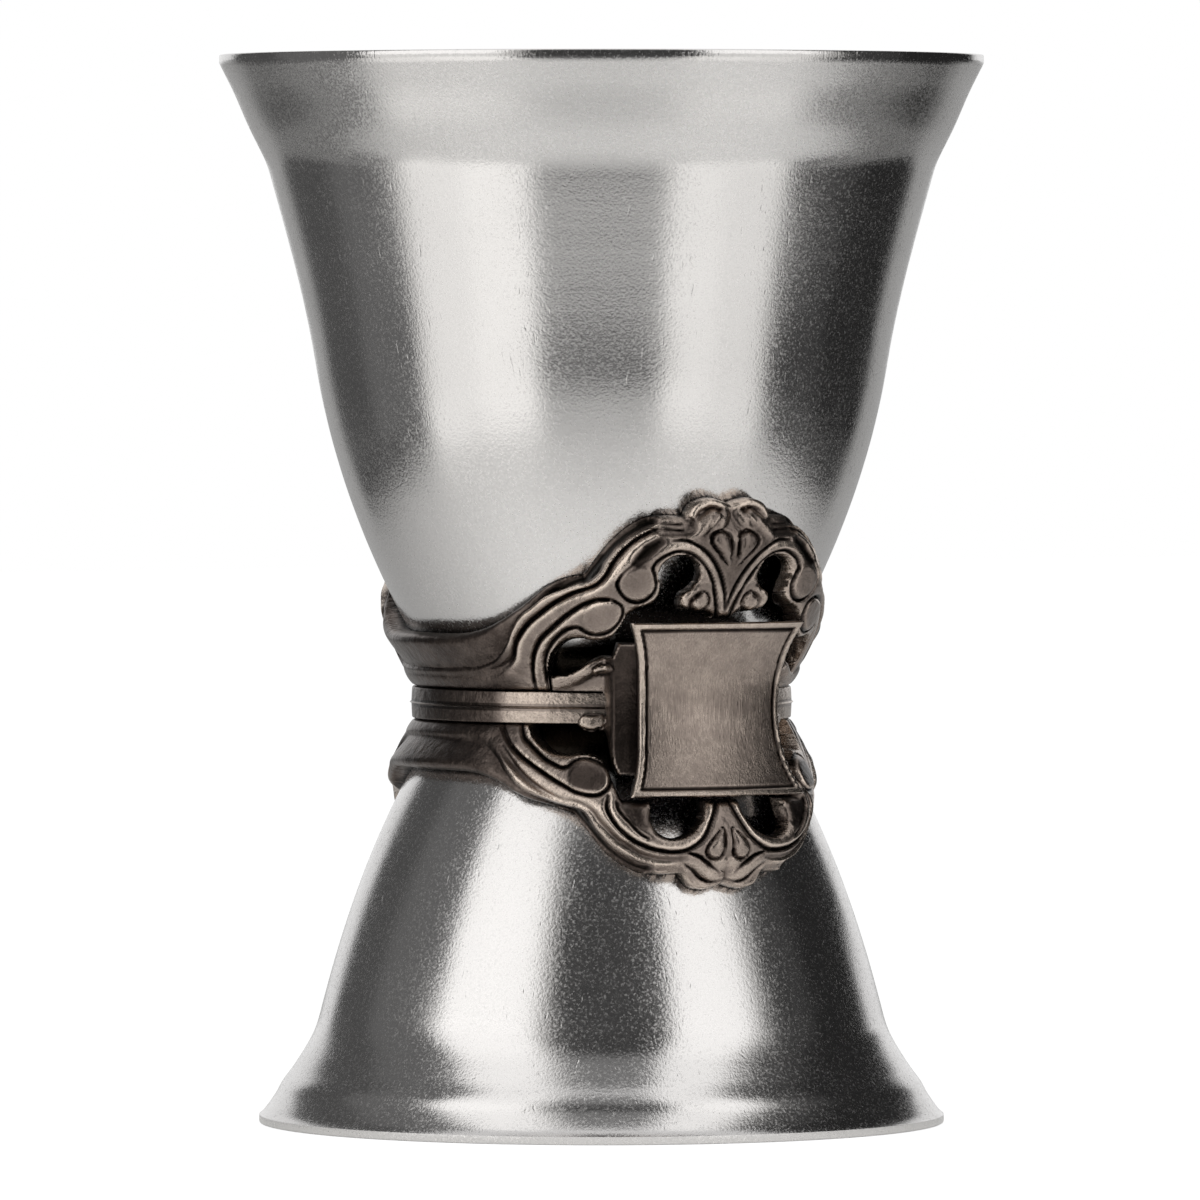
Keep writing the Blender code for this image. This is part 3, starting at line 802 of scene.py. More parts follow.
class Relief:
    """Heights over a piece's plain face, in millimetres, on the pattern's points, and how it is toned.

    Faces are built up first. Grooves are kept apart and cut last, so that they don't add up where they
    meet."""

    def __init__(self, u, v, ground):
        self.u = u
        self.v = v
        self.height = np.full(u.shape, ground)
        self.cut = np.zeros(u.shape)
        self.black = np.zeros(u.shape)
        self.bright = np.zeros(u.shape)

    def along(self, points):
        """Where each point is from a stroke: its distance as a share of the stroke's half width, the
        stroke's last value there, whether it is on the stroke's right, and its distance."""
        line = pattern_run(points)
        share = np.full(self.u.shape, FAR)
        value = np.zeros(self.u.shape)
        right = np.zeros(self.u.shape, bool)
        width = np.ones(self.u.shape)
        for (u0, v0, w0, h0), (u1, v1, w1, h1) in zip(line[:-1], line[1:]):
            du, dv = u1 - u0, v1 - v0
            length = du * du + dv * dv
            if length < NEAR:
                continue
            t = np.clip(((self.u - u0) * du + (self.v - v0) * dv) / length, 0.0, 1.0)
            broad = w0 + t * (w1 - w0)
            off = np.hypot(self.u - u0 - t * du, self.v - v0 - t * dv) / broad
            closer = off < share
            share = np.where(closer, off, share)
            value = np.where(closer, h0 + t * (h1 - h0), value)
            width = np.where(closer, broad, width)
            right = np.where(closer, du * (self.v - v0) < dv * (self.u - u0), right)
        return share, value, right, share * width

    def sink(self, depth):
        """Cut down to a depth, where nothing cuts deeper."""
        self.cut = np.maximum(self.cut, depth)

    def tone(self, share):
        """Keep a share of the toning."""
        self.black = np.maximum(self.black, share)

    def rub(self, share):
        """Rub a share of the toning off."""
        self.bright = np.maximum(self.bright, share)

    def ink(self, depth, distance):
        """Keep the toning in the bottom of a cut, in a narrow line."""
        self.tone(np.clip(depth / INK_DEPTH, 0.0, 1.0) * step_to(distance, *INK_EDGE))

    def groove(self, points):
        """Cut along (angle, offset, half width, depth): two round shoulders that meet in a narrow line."""
        share, depth, _, distance = self.along(points)
        self.sink(depth * fade(share) ** 2)
        self.ink(depth, distance)

    def hollow(self, points):
        """Sink a soft hollow along (angle, offset, half width, depth)."""
        share, depth, _, _ = self.along(points)
        soft = dome(share) ** 2
        self.sink(depth * soft)
        self.tone(HOLLOW_TONE * depth * soft)

    def rail(self, points):
        """Cut along (angle, offset, hollow width, depth): a narrow line, a round flank on its left, and on
        its right a hollow that climbs to a rubbed crest."""
        share, depth, right, distance = self.along(points)
        self.sink(depth * np.where(right, fade(share) ** 1.2, fade(distance / FLANK_WIDTH) ** 3))
        self.ink(depth, distance)
        crest = np.where(right, bell(share, *RAIL_CREST), 0.0)
        self.tone(np.where(right, SIDE_TONE * fade(share), 0.0))
        self.rub(np.clip(depth / CREST_DEPTH, 0.0, 1.0) * crest)

    def cove(self, points, fall, wall):
        """Sink what is on the right of (angle, offset, width, depth) by a fall, behind a wall that ends in
        a rubbed crest. Where the fall is none, a hollow of the stroke's own depth fades over its width."""
        share, depth, right, distance = self.along(points)
        low = np.maximum(fall, depth * fade(share) ** 1.5)
        self.sink(np.where(right, low, np.maximum(fall, depth) * fade(distance / wall) ** 1.5))
        crest = np.where(right, 0.0, bell(distance / wall, *COVE_CREST))
        strength = np.clip(depth / CREST_DEPTH, 0.0, 1.0)
        self.rub(strength * crest)
        self.tone(np.where(right, SIDE_TONE * strength, 0.0) * (distance < COVE_SHADE_WIDTH))

    def pad(self, points):
        """Raise a flat face along (angle, offset, half width, rise), with an eased edge."""
        share, rise, _, _ = self.along(points)
        self.height += rise * step_to(share, 1.0, PAD_EDGE)

    def ridge(self, points):
        """Raise a round ridge along (angle, offset, half width, rise)."""
        share, rise, _, _ = self.along(points)
        self.height += rise * dome(share) ** 0.7

    def drop(self, points, moat):
        """Raise a dome along a tapering stroke, and sink a narrow moat round it."""
        share, rise, _, _ = self.along(points)
        self.height += rise * np.sqrt(dome(share)) - moat * band(share, *MOAT_BAND)

    def round_edge(self, distance, width, drop):
        """Round the face over towards an edge, in an elliptic quarter."""
        self.height -= drop * (1 - np.sqrt(1 - fade(distance / width) ** 2))

    def finish(self):
        """Cut the grooves, and give the heights."""
        self.height -= self.cut
        return self.height


def box_blur(values, reach):
    """Mean of a grid's values over a square of the given reach, in cells."""
    for axis in (0, 1):
        padded = np.concatenate([
            np.repeat(np.take(values, [0], axis), reach + 1, axis), values,
            np.repeat(np.take(values, [-1], axis), reach, axis)], axis)
        total = np.cumsum(padded, axis)
        count = values.shape[axis]
        upper = np.take(total, range(2 * reach + 1, 2 * reach + 1 + count), axis)
        lower = np.take(total, range(0, count), axis)
        values = (upper - lower) / (2 * reach + 1)
    return values


def wear_from(height):
    """How far a relief is rubbed: low lines keep their toning, and what stands out is rubbed bright."""
    fine = height - box_blur(height, FINE_CELLS)
    broad = height - box_blur(height, BROAD_CELLS)
    return np.clip(OPEN_WEAR + FINE_RUB * fine + BROAD_RUB * broad, 0.0, 1.0)


def grid_lines(lowest, highest, step):
    """Evenly spaced lines, about a step apart."""
    return np.linspace(lowest, highest, max(int(round((highest - lowest) / step)), 1) + 1)


def cast_half(outline, columns, rows, relief, inner_radius, outer_radius, seam):
    """A wrapped plate with relief, as points before turning, faces and wear.

    The outline is in pattern millimetres. Points are (angle, offset, radius), in radians and metres.
    Columns at a seam join the next half, so they get no wall."""
    u, v = np.meshgrid(columns, rows, indexing="ij")
    middle_u = (u[:-1, :-1] + u[1:, 1:]) / 2
    middle_v = (v[:-1, :-1] + v[1:, 1:]) / 2
    kept = inside_line(middle_u, middle_v, outline)
    around = np.zeros(u.shape, int)
    for du in (0, 1):
        for dv in (0, 1):
            around[du:du + kept.shape[0], dv:dv + kept.shape[1]] += kept
    used = around > 0
    on_seam = np.zeros(u.shape, bool)
    if seam:
        on_seam[[0, -1], :] = True
    border = used & (around < np.where(on_seam, 2, 4))
    _, near_u, near_v = line_distance(u[border], v[border], outline, True)
    u[border] = np.where(on_seam[border], u[border], near_u)
    v[border] = near_v
    height, wear = relief(u, v)
    angle = u / 1000 / PATTERN_RADIUS
    offset = v / 1000
    front = outer_radius(angle, offset) + height / 1000
    back = inner_radius(angle, offset)
    front = np.maximum(front, back + LEAST_THICKNESS)
    index = np.cumsum(used.ravel()).reshape(u.shape) - 1
    count = int(used.sum())
    points = np.concatenate([
        np.stack([angle[used], offset[used], front[used]], 1),
        np.stack([angle[used], offset[used], back[used]], 1)])
    ci, cj = np.nonzero(kept)
    quads = np.stack([index[ci, cj], index[ci + 1, cj], index[ci + 1, cj + 1], index[ci, cj + 1]], 1)
    edges = np.concatenate([quads[:, [0, 1]], quads[:, [1, 2]], quads[:, [2, 3]], quads[:, [3, 0]]])
    ordered = np.sort(edges, 1)
    key = ordered[:, 0].astype(np.int64) * count + ordered[:, 1]
    _, first, times = np.unique(key, return_index=True, return_counts=True)
    rim = edges[first[times == 1]]
    seam_points = on_seam[used]
    rim = rim[~(seam_points[rim[:, 0]] & seam_points[rim[:, 1]])]
    walls = np.stack([rim[:, 1], rim[:, 0], rim[:, 0] + count, rim[:, 1] + count], 1)
    faces = np.concatenate([quads, quads[:, ::-1] + count, walls])
    return points, faces, np.concatenate([wear[used], np.full(count, BACK_WEAR)])


def wrap_points(points, turn, side):
    """Bend (angle, offset, radius) points round the axis."""
    angle = points[:, 0] + turn
    return np.stack([points[:, 2] * np.sin(angle), -points[:, 2] * np.cos(angle),
                     JOINT_HEIGHT + side * points[:, 1]], 1)


def cast_piece(name, half, turns, side, material):
    """A mesh object from one cast half, set at each of the given turns."""
    points, faces, wear = half
    places = np.concatenate([wrap_points(points, turn, side) for turn in turns])
    corners = np.concatenate([faces + index * len(points) for index in range(len(turns))])
    mesh = bpy.data.meshes.new(name)
    mesh.from_pydata(places.tolist(), [], corners.tolist())
    set_share(mesh, "wear", np.tile(wear, len(turns)))
    mesh.materials.append(material)
    close_mesh(mesh, CAST_SHARP)
    return place_object(name, mesh)


# The collars' drawing: angles in degrees from the middle of the front, offsets in millimetres.
# Strokes add a half width and a rise, depth or share of wear. A point takes what it leaves out from the
# point before it. The right half mirrors the left.

UPPER_OUTER = (
    [(0, 15.25), (-1.8, 15.45), (-5, 15.65), (-8.6, 15.25), (-10.2, 14.3)],
    [(-10.2, 14.3), (-16.8, 14.3), (-21.4, 13.7), (-26, 12.5), (-30, 11.0), (-32.8, 9.9)],
    [(-32.8, 9.9), (-37, 9.7), (-43, 9.0), (-50.4, 7.5), (-59, 6.2), (-68, 5.55), (-79, 5.4), (-90, 5.4)],
)
UPPER_INNER = (
    [(-90, 1.25), (-43.5, 1.25)],
    [(-43.5, 1.25), (-43.8, 2.2), (-43.1, 3.1), (-41.5, 4.05), (-39.3, 4.7), (-36.6, 5.1), (-33.5, 5.22),
     (-31, 5.1), (-28, 5.12), (-25.6, 5.4), (-24.2, 5.95), (-23.2, 6.5), (-22, 7.05), (-19.7, 7.5),
     (-17, 7.8), (-15.6, 8.4), (-15.5, 9.2), (-15.9, 10.0), (-15, 10.8), (-13.2, 11.22), (-10.7, 11.35),
     (-8.3, 10.9), (-7.2, 10.1), (-7.5, 9.5)],
    [(-7.5, 9.5), (-9, 9.0), (-10.4, 8.7), (-11.1, 8.2), (-10.8, 7.6), (-9.2, 7.3), (-6.5, 7.15),
     (-4.2, 7.1), (-2.4, 6.7)],
    [(-2.4, 6.7), (0, 6.7)],
)
UPPER_STROKES = {
    "pads": (
        [(-21.1, 9.25, 1.3, 0.14), (-19.8, 9.45)],
        [(-29.6, 6.65, 1.2, 0.14), (-26.5, 7.0)],
        [(-7.4, 8.9, 0.5, -0.1), (-5, 8.4, 0.9, -0.12), (-3.6, 7.4)],
        [(-10.9, 13.6, 0.9, -0.5), (-15.2, 13.6)],
    ),
    "ridges": (
        [(-9.9, 12.85, 0.34, 0.1), (-7.8, 13.32, 0.5, 0.42), (-5.9, 13.95, 0.54, 0.6),
         (-4.4, 14.4, 0.46, 0.5)],
        [(-4.3, 13.5, 0.42, 0.2), (-2.9, 13.95, 0.5, 0.5), (-1.8, 14.4, 0.42, 0.4)],
        [(-9.4, 14.2, 0.34, 0.15), (-7.8, 14.95, 0.4, 0.3), (-5, 15.28, 0.4, 0.32),
         (-2.4, 15.15, 0.36, 0.28), (-0.7, 14.95, 0.3, 0.12)],
        [(-7.6, 8.85, 0.24, 0.12), (-9.2, 8.55, 0.3, 0.18), (-10.3, 8.1), (-9.8, 7.65, 0.26, 0.12)],
        [(-90, 1.75, 0.5, 0.12), (-66, 1.7, 0.5, 0.14), (-60, 1.8, 0.6, 0.2), (-55, 2.0, 0.7, 0.22),
         (-50, 1.75, 0.5, 0.15)],
    ),
    "drops": (
        [(-3.2, 12.52, 0.6, 0.3), (-2.5, 11.95, 0.46, 0.28), (-1.0, 10.75, 0.1, 0.1)],
        [(-6.4, 7.78, 0.6, 0.26), (-5.8, 8.1, 0.46, 0.24), (-5.7, 8.55, 0.16, 0.1)],
    ),
    "coves": (
        [(-15.6, 13.95, 0.3, 0.1), (-16.8, 13.84, 0.4, 0.35), (-18.2, 13.7, 0.5, 0.5), (-20.1, 13.36),
         (-21.9, 13.0), (-23.5, 12.58), (-25.3, 12.07), (-26.6, 11.53), (-28.1, 10.9), (-29.0, 10.32),
         (-30.8, 9.73), (-32.4, 9.5), (-34, 9.45), (-37.6, 9.04, 0.6), (-42.6, 8.42, 0.75),
         (-46.7, 7.52, 0.95), (-49.6, 6.9, 1.1), (-52.1, 6.05, 1.3), (-54.6, 4.9, 1.5, 0.48),
         (-57.4, 4.05, 1.6, 0.44), (-61.5, 3.35, 1.7, 0.38), (-70, 2.9, 1.8, 0.32), (-90, 2.8, 1.9, 0.3)],
    ),
    "rails": (
        [(-64, 2.6, 0.5, 0.0), (-57.7, 3.06, 0.5, 0.3), (-54, 3.72, 0.46, 0.42),
         (-52.2, 4.75, 0.42, 0.46), (-50.7, 5.35, 0.38, 0.48), (-47.6, 6.3, 0.36, 0.5), (-44, 7.07, 0.34),
         (-40.2, 7.85), (-35.3, 8.6), (-31.4, 9.0), (-29.4, 9.3), (-27.6, 9.9, 0.36), (-26, 10.85),
         (-23.6, 11.85), (-21, 12.6), (-18.5, 13.08, 0.36, 0.45), (-16.4, 13.35, 0.3, 0.2)],
        [(-48.4, 1.2, 0.36, 0.1), (-48.7, 1.9, 0.36, 0.25), (-48.5, 2.8, 0.36, 0.38),
         (-47.6, 3.7, 0.36, 0.44), (-46.2, 4.5, 0.34, 0.48), (-44.2, 5.25, 0.34, 0.5), (-41, 6.0),
         (-37.4, 6.85), (-35, 7.35), (-32.5, 7.8), (-29.5, 8.15, 0.3, 0.42), (-26.8, 8.15, 0.24, 0.34)],
    ),
    "hollows": (
        [(-22, 10.85, 0.3, 0.1), (-20.4, 11.3, 0.6, 0.4), (-18.6, 11.85, 0.62, 0.45),
         (-16.4, 12.4, 0.5, 0.3)],
    ),
    "grooves": (
        [(-44.2, 1.2, 0.4, 0.25), (-44.4, 2.3, 0.4, 0.35), (-44.3, 3.1, 0.4, 0.4),
         (-43.5, 3.9, 0.4, 0.45), (-41.9, 4.65), (-39.2, 5.44, 0.36), (-36.6, 5.93, 0.3, 0.4),
         (-33.9, 6.05, 0.24, 0.34), (-32.2, 5.72, 0.22, 0.32), (-29.9, 5.5), (-27.2, 5.64), (-25.5, 6.02),
         (-24.1, 6.6), (-23.6, 7.2), (-24.2, 7.72, 0.22, 0.3), (-26, 8.1, 0.22, 0.26)],
        [(-21.4, 10.88, 0.3, 0.1), (-23.3, 10.32, 0.26, 0.16), (-24.7, 9.7, 0.24, 0.28),
         (-25.0, 9.1, 0.24, 0.32), (-23.3, 8.25, 0.24, 0.34), (-20.6, 7.92), (-18.1, 8.27), (-16.7, 9.1),
         (-17.1, 9.95), (-17.6, 10.45), (-16.7, 11.0), (-14.5, 11.5, 0.22, 0.32), (-12.4, 11.7),
         (-9.4, 11.47), (-6.6, 10.75), (-4.5, 9.75), (-3.1, 8.6), (-2.1, 7.45), (-1.7, 6.7)],
        [(-13.6, 12.5, 0.22, 0.16), (-11.5, 12.52, 0.22, 0.28), (-9.8, 12.38, 0.22, 0.32), (-6.8, 11.77),
         (-4.3, 10.9), (-2.2, 9.75), (-0.9, 8.65, 0.2, 0.3), (-0.3, 7.7, 0.16, 0.2), (0, 7.2, 0.12, 0.1)],
        [(-16.2, 13.72, 0.16, 0.14), (-11.3, 13.66)],
        [(-15.6, 13.31, 0.16, 0.16), (-11.1, 13.22)],
    ),
    "rubbed": (
        [(-25.4, 9.95, 0.45, 0.3), (-24.2, 10.5, 0.45, 0.32), (-22.3, 11.35, 0.4, 0.35),
         (-20.6, 11.9, 0.36, 0.3)],
        [(-16, 11.75, 0.34, 0.15), (-13.5, 12.08, 0.34, 0.24), (-11, 12.1, 0.32),
         (-8.6, 11.85, 0.3, 0.15), (-3.6, 9.85, 0.3, 0.08), (-1.6, 8.1, 0.24)],
        [(-9, 14.5, 0.3, 0.2), (-7.6, 15.0, 0.34, 0.3), (-5, 15.3, 0.34, 0.32), (-2.4, 15.15, 0.3, 0.28),
         (-0.7, 14.95, 0.3, 0.18)],
    ),
    "darkened": (
        [(-21, 10.95, 0.45, 0.2), (-18.5, 11.8, 0.5, 0.26), (-16.2, 12.5, 0.4, 0.2)],
        [(-5, 12.2, 1.0, 0.1), (-2, 11.2, 1.2), (0, 9.2, 0.8)],
        [(-31, 10.2, 0.3, 0.16), (-28.6, 11.2, 0.32)],
        [(-19.5, 13.75, 0.35, 0.16), (-16.8, 14.05)],
    ),
}
LOWER_OUTER = (
    [(0, 12.9), (-1.8, 13.1), (-5, 13.3), (-8.6, 13.0), (-10.4, 12.1)],
    [(-10.4, 12.1), (-17.7, 12.1), (-23.2, 11.45), (-27.9, 10.4), (-32, 9.0), (-36, 7.7)],
    [(-36, 7.7), (-41.2, 7.2), (-49.8, 6.6), (-58, 5.5), (-67, 4.9), (-78, 4.8), (-90, 4.8)],
)
LOWER_INNER = (
    [(-90, 1.25), (-50.8, 1.25)],
    [(-50.8, 1.25), (-48.2, 2.2), (-44.1, 2.98), (-40.1, 3.34), (-36.8, 3.36), (-33.5, 3.3), (-30.4, 3.4),
     (-28, 3.8), (-26.6, 4.5), (-25.8, 5.2), (-24.8, 5.9), (-23.4, 6.7)],
    [(-23.4, 6.7), (-17.2, 6.7)],
    [(-17.2, 6.7), (-17.1, 7.6), (-17.1, 8.2), (-15.9, 8.97), (-13.4, 9.42), (-10.4, 9.32), (-7.3, 8.7),
     (-5.2, 7.7), (-4.5, 6.7)],
    [(-4.5, 6.7), (0, 6.7)],
)
LOWER_STROKES = {
    "pads": (
        [(-33.2, 4.95, 1.15, 0.12), (-30.0, 5.0)],
        [(-21.6, 6.8, 1.2, -0.12), (-19.4, 7.9, 0.9)],
    ),
    "ridges": (
        [(-9.6, 10.95, 0.4, 0.1), (-7, 11.4, 0.52, 0.3), (-4, 12.05, 0.58, 0.4), (-1.6, 12.35, 0.5, 0.3)],
        [(-3.6, 11.1, 0.5, 0.16), (-1.6, 11.45, 0.7, 0.3), (0, 11.6, 0.6, 0.16)],
        [(-90, 1.75, 0.5, 0.1), (-66, 1.75, 0.5, 0.12), (-62, 1.7, 0.5, 0.1)],
    ),
    "drops": (
        [(-3.2, 10.38, 0.57, 0.3), (-2.6, 9.85, 0.44, 0.28), (-1.3, 8.8, 0.1, 0.1)],
    ),
    "coves": (
        [(-11, 11.85, 0.25, 0.1), (-16.2, 11.75, 0.36, 0.3), (-20.3, 11.45, 0.42, 0.4),
         (-24, 10.85, 0.48), (-26.8, 10.15, 0.5), (-29.7, 9.15, 0.55), (-31.3, 8.45, 0.6),
         (-32.4, 7.95, 0.55), (-33.8, 7.6, 0.45, 0.38), (-37.8, 7.28, 0.38, 0.35), (-41.1, 7.0),
         (-46.4, 6.46, 0.6, 0.38), (-49.4, 6.04, 0.8, 0.4), (-52.6, 5.45, 1.0, 0.42), (-56, 4.6, 1.2),
         (-59, 3.75, 1.4, 0.4), (-64, 2.9, 1.5, 0.36), (-72, 2.5, 1.6, 0.3), (-90, 2.4, 1.6, 0.28)],
    ),
    "rails": (
        [(-60, 1.2, 0.3, 0.2), (-58.8, 1.8, 0.3, 0.34), (-55.5, 2.74, 0.28, 0.42),
         (-51.7, 3.52, 0.26, 0.45), (-48.3, 4.08), (-45.1, 4.57), (-41, 5.2), (-37.6, 5.69, 0.26, 0.42),
         (-35, 6.07, 0.24, 0.38), (-31.6, 6.3, 0.24, 0.36), (-28.6, 6.22), (-26.5, 5.64),
         (-25.9, 4.91, 0.24, 0.32)],
        [(-26.9, 6.29, 0.26, 0.2), (-27.3, 7.1, 0.3, 0.36), (-26.7, 7.7, 0.32, 0.42), (-25, 8.55),
         (-22.5, 9.34), (-20, 9.86), (-17.2, 10.22, 0.3, 0.4), (-15.2, 10.36, 0.28, 0.38), (-12.6, 10.45),
         (-9.9, 10.33, 0.28, 0.36), (-7.6, 9.9, 0.26, 0.34), (-5.5, 9.3), (-3.6, 8.27),
         (-2.1, 7.23, 0.26, 0.32), (-1.4, 6.4, 0.24, 0.3)],
    ),
    "hollows": (
        [(-58, 2.95, 0.4, 0.1), (-54.3, 3.89, 0.4, 0.34), (-50.7, 4.74, 0.4, 0.36), (-47.6, 5.38),
         (-44.7, 5.88, 0.38), (-41.9, 6.3, 0.36, 0.34), (-37.6, 6.79, 0.34, 0.3), (-34.1, 6.91, 0.36),
         (-31, 7.4, 0.4, 0.34), (-29.4, 8.05, 0.42, 0.36), (-27.2, 8.77), (-25, 9.5, 0.4),
         (-22.3, 10.08, 0.38, 0.34), (-19.6, 10.62, 0.36, 0.32), (-16.2, 10.95, 0.34, 0.26),
         (-12.8, 11.0, 0.3, 0.18), (-10, 10.9, 0.26, 0.12)],
    ),
    "grooves": (
        [(-25.9, 4.91, 0.22, 0.3), (-27, 4.34, 0.22, 0.32), (-29.2, 3.84), (-32.7, 3.62),
         (-35.3, 3.82, 0.24, 0.34), (-37.1, 4.24, 0.26, 0.38), (-38.9, 4.32, 0.3, 0.42),
         (-41.2, 4.08, 0.34, 0.45), (-43.7, 3.77, 0.36, 0.48), (-46.4, 3.28), (-49.3, 2.71, 0.36, 0.45),
         (-51.6, 2.22, 0.36, 0.4), (-53.6, 1.2, 0.36, 0.25)],
        [(-25.1, 6.72, 0.2, 0.14), (-24.4, 7.41, 0.24, 0.28), (-21.7, 8.45, 0.24, 0.3), (-20, 9.06),
         (-18.3, 9.42, 0.22, 0.22)],
        [(-9.6, 10.5, 0.2, 0.16), (-6.8, 10.8, 0.24, 0.3), (-3.5, 11.6, 0.24, 0.26),
         (-1.9, 12.0, 0.2, 0.12)],
        [(-9.8, 11.41, 0.2, 0.14), (-7.7, 11.87, 0.22, 0.2), (-5.9, 12.42, 0.22, 0.22),
         (-3.3, 12.7, 0.22, 0.2), (-0.8, 12.6, 0.2, 0.16), (0, 12.4, 0.16, 0.1)],
    ),
    "rubbed": (
        [(-51.2, 4.1, 0.36, 0.12), (-44.9, 5.23, 0.36, 0.2), (-40.9, 5.86, 0.36, 0.22),
         (-37.6, 6.2, 0.34, 0.2), (-34, 6.42), (-30.9, 6.85, 0.36, 0.24), (-28.7, 7.35, 0.4, 0.26),
         (-27.2, 8.03, 0.4, 0.24), (-25, 8.86, 0.36, 0.2), (-22.9, 9.55, 0.34, 0.18)],
        [(-4, 11.95, 0.6, 0.06), (-1.8, 11.55, 0.7, 0.12), (0, 11.3, 0.6, 0.1)],
        [(-9, 11.3, 0.36, 0.08), (-7, 11.6, 0.4, 0.12), (-4.6, 12.2, 0.44), (-2.4, 12.5, 0.4, 0.1),
         (-0.6, 12.5, 0.3, 0.06)],
    ),
    "darkened": (
        [(-33.2, 4.95, 1.1, 0.24), (-30.0, 5.0)],
        [(-22, 6.6, 1.3, 0.16), (-19.4, 7.9, 1.0)],
    ),
}


class CollarDrawing:
    """Everything that one collar's half turn is drawn from."""

    def __init__(self, form, side, levels, lines, cove_wall, strokes):
        self.form = form
        self.side = side
        self.crest, self.shoulder, self.shank = levels
        self.outer_line, self.inner_line = [join_runs(line) for line in lines]
        self.outline = mirrored(np.vstack([self.outer_line, self.inner_line]))
        self.cove_wall = cove_wall
        self.strokes = strokes

    def inner_radius(self, angle, offset):
        """Radius of the collar's back: on the cup, and standing off it behind the ornament."""
        turn = np.abs(angle)
        around = smooth_step((BULGE_HALF_ANGLE - turn) / (BULGE_HALF_ANGLE - BULGE_FLAT_ANGLE))
        fall = smooth_step((turn - BULGE_EDGE_START) / (BULGE_EDGE_END - BULGE_EDGE_START))
        edge = self.crest - BULGE_EDGE_MARGIN - (self.shoulder - self.shank) * fall
        bulge = COLLAR_BULGE * around * smooth_step((edge - offset) / BULGE_FADE)
        return cup_face(self.form, offset) + FIT_GAP + bulge

    def outer_radius(self, angle, offset):
        """Radius of the collar's plain face."""
        thinning = smooth_step((offset - COLLAR_THIN_START) / (self.crest - COLLAR_THIN_START))
        thickness = COLLAR_THICKNESS + (COLLAR_CREST_THICKNESS - COLLAR_THICKNESS) * thinning
        return self.inner_radius(angle, offset) + thickness

    def seated_radius(self, angle, offset):
        """Radius of the collar's back with its outer edge pressed home on the cup."""
        left = -np.abs(angle) * PATTERN_RADIUS * 1000
        gap = line_distance(left, offset * 1000, self.outer_line)[0]
        home = cup_face(self.form, offset) + EDGE_GAP
        pressed = step_to(gap, *PRESSED_EDGE)
        return self.inner_radius(angle, offset) * (1 - pressed) + home * pressed

    def relief(self, u, v):
        """Heights and wear of the collar's face."""
        left = -np.abs(u)
        turn = -left / MM_PER_DEGREE
        within = inside_line(left, v, self.outline)
        outer_gap = np.where(within, line_distance(left, v, self.outer_line)[0], 0.0)
        inner_gap = np.where(within, line_distance(left, v, self.inner_line)[0], 0.0)
        angle, offset = left / 1000 / PATTERN_RADIUS, v / 1000
        standing = (self.outer_radius(angle, offset) - cup_face(self.form, offset)) * 1000
        # Outside the rails the ornament falls to a thin edge on the cup; at the shanks it doesn't
        shank = step_from(turn, *SHANK_START)
        fall = np.maximum(standing - LIP_STAND, 0.0) * (1 - shank) * step_from(turn, *CREST_END)
        face = Relief(left, v, 0.0)
        shapes = {
            "pads": (face.pad,), "ridges": (face.ridge,), "drops": (face.drop, DROP_MOAT),
            "coves": (face.cove, fall, self.cove_wall), "rails": (face.rail,),
            "hollows": (face.hollow,), "grooves": (face.groove,),
        }
        for kind, (shape, *values) in shapes.items():
            for stroke in self.strokes[kind]:
                shape(stroke, *values)
        # The shanks are rounded over more at their outer edge, and less at their inner one
        drop = np.clip(standing - face.cut - LIP_STAND, 0.0, OUTER_DROP + OUTER_EXTRA * shank)
        face.round_edge(outer_gap, OUTER_WIDTH + OUTER_EXTRA * shank, drop)
        inner_width = INNER_WIDTH_EXTRA * (1 - shank) + INNER_WIDTH
        face.round_edge(inner_gap, inner_width, INNER_DROP_EXTRA * (1 - shank) + INNER_DROP)
        height = face.finish()
        # Points on the outline take a middle wear: partly a rubbed edge, partly a painted highlight
        worn = np.where(within, wear_from(np.where(within, height, BEYOND_COLLAR)), EDGE_WEAR_AND_HIGHLIGHT)
        wear = worn - TONED_SHARE * face.black + RUBBED_SHARE * face.bright
        for stroke in self.strokes["rubbed"]:
            share, amount, _, _ = face.along(stroke)
            wear += amount * dome(share)
        for stroke in self.strokes["darkened"]:
            share, amount, _, _ = face.along(stroke)
            wear -= amount * step_to(share, *TONED_STROKE)
        # The outer edge is rubbed by handling, and lightened further as a painted highlight along it
        wear += HANDLED_AND_HIGHLIGHT_SHARE * step_to(outer_gap, *HANDLED_AND_HIGHLIGHT_EDGE) * (1 - shank)
        # The shanks are evenly toned, and a little lighter at their edge
        plain = step_from(turn, *PLAIN_START)
        edge = step_to(outer_gap, *SHANK_EDGE)
        wear = wear * (1 - plain) + (SHANK_WEAR + SHANK_EDGE_SHARE * edge) * plain
        return height, np.clip(wear, 0.0, 1.0)

    def half(self):
        """The collar's half turn, on a grid that is fine where the ornament is."""
        cell = settings().relief_cell * 1000
        edge = HALF_END * MM_PER_DEGREE
        fine = FINE_END * MM_PER_DEGREE
        outer = grid_lines(fine, edge, SHANK_CELL * cell)[1:]
        columns = np.concatenate([-outer[::-1], grid_lines(-fine, fine, cell), outer])
        rows = grid_lines(COLLAR_START * 1000, self.crest * 1000, cell)
        return cast_half(
            self.outline, columns, rows, self.relief, self.seated_radius, self.outer_radius, True)


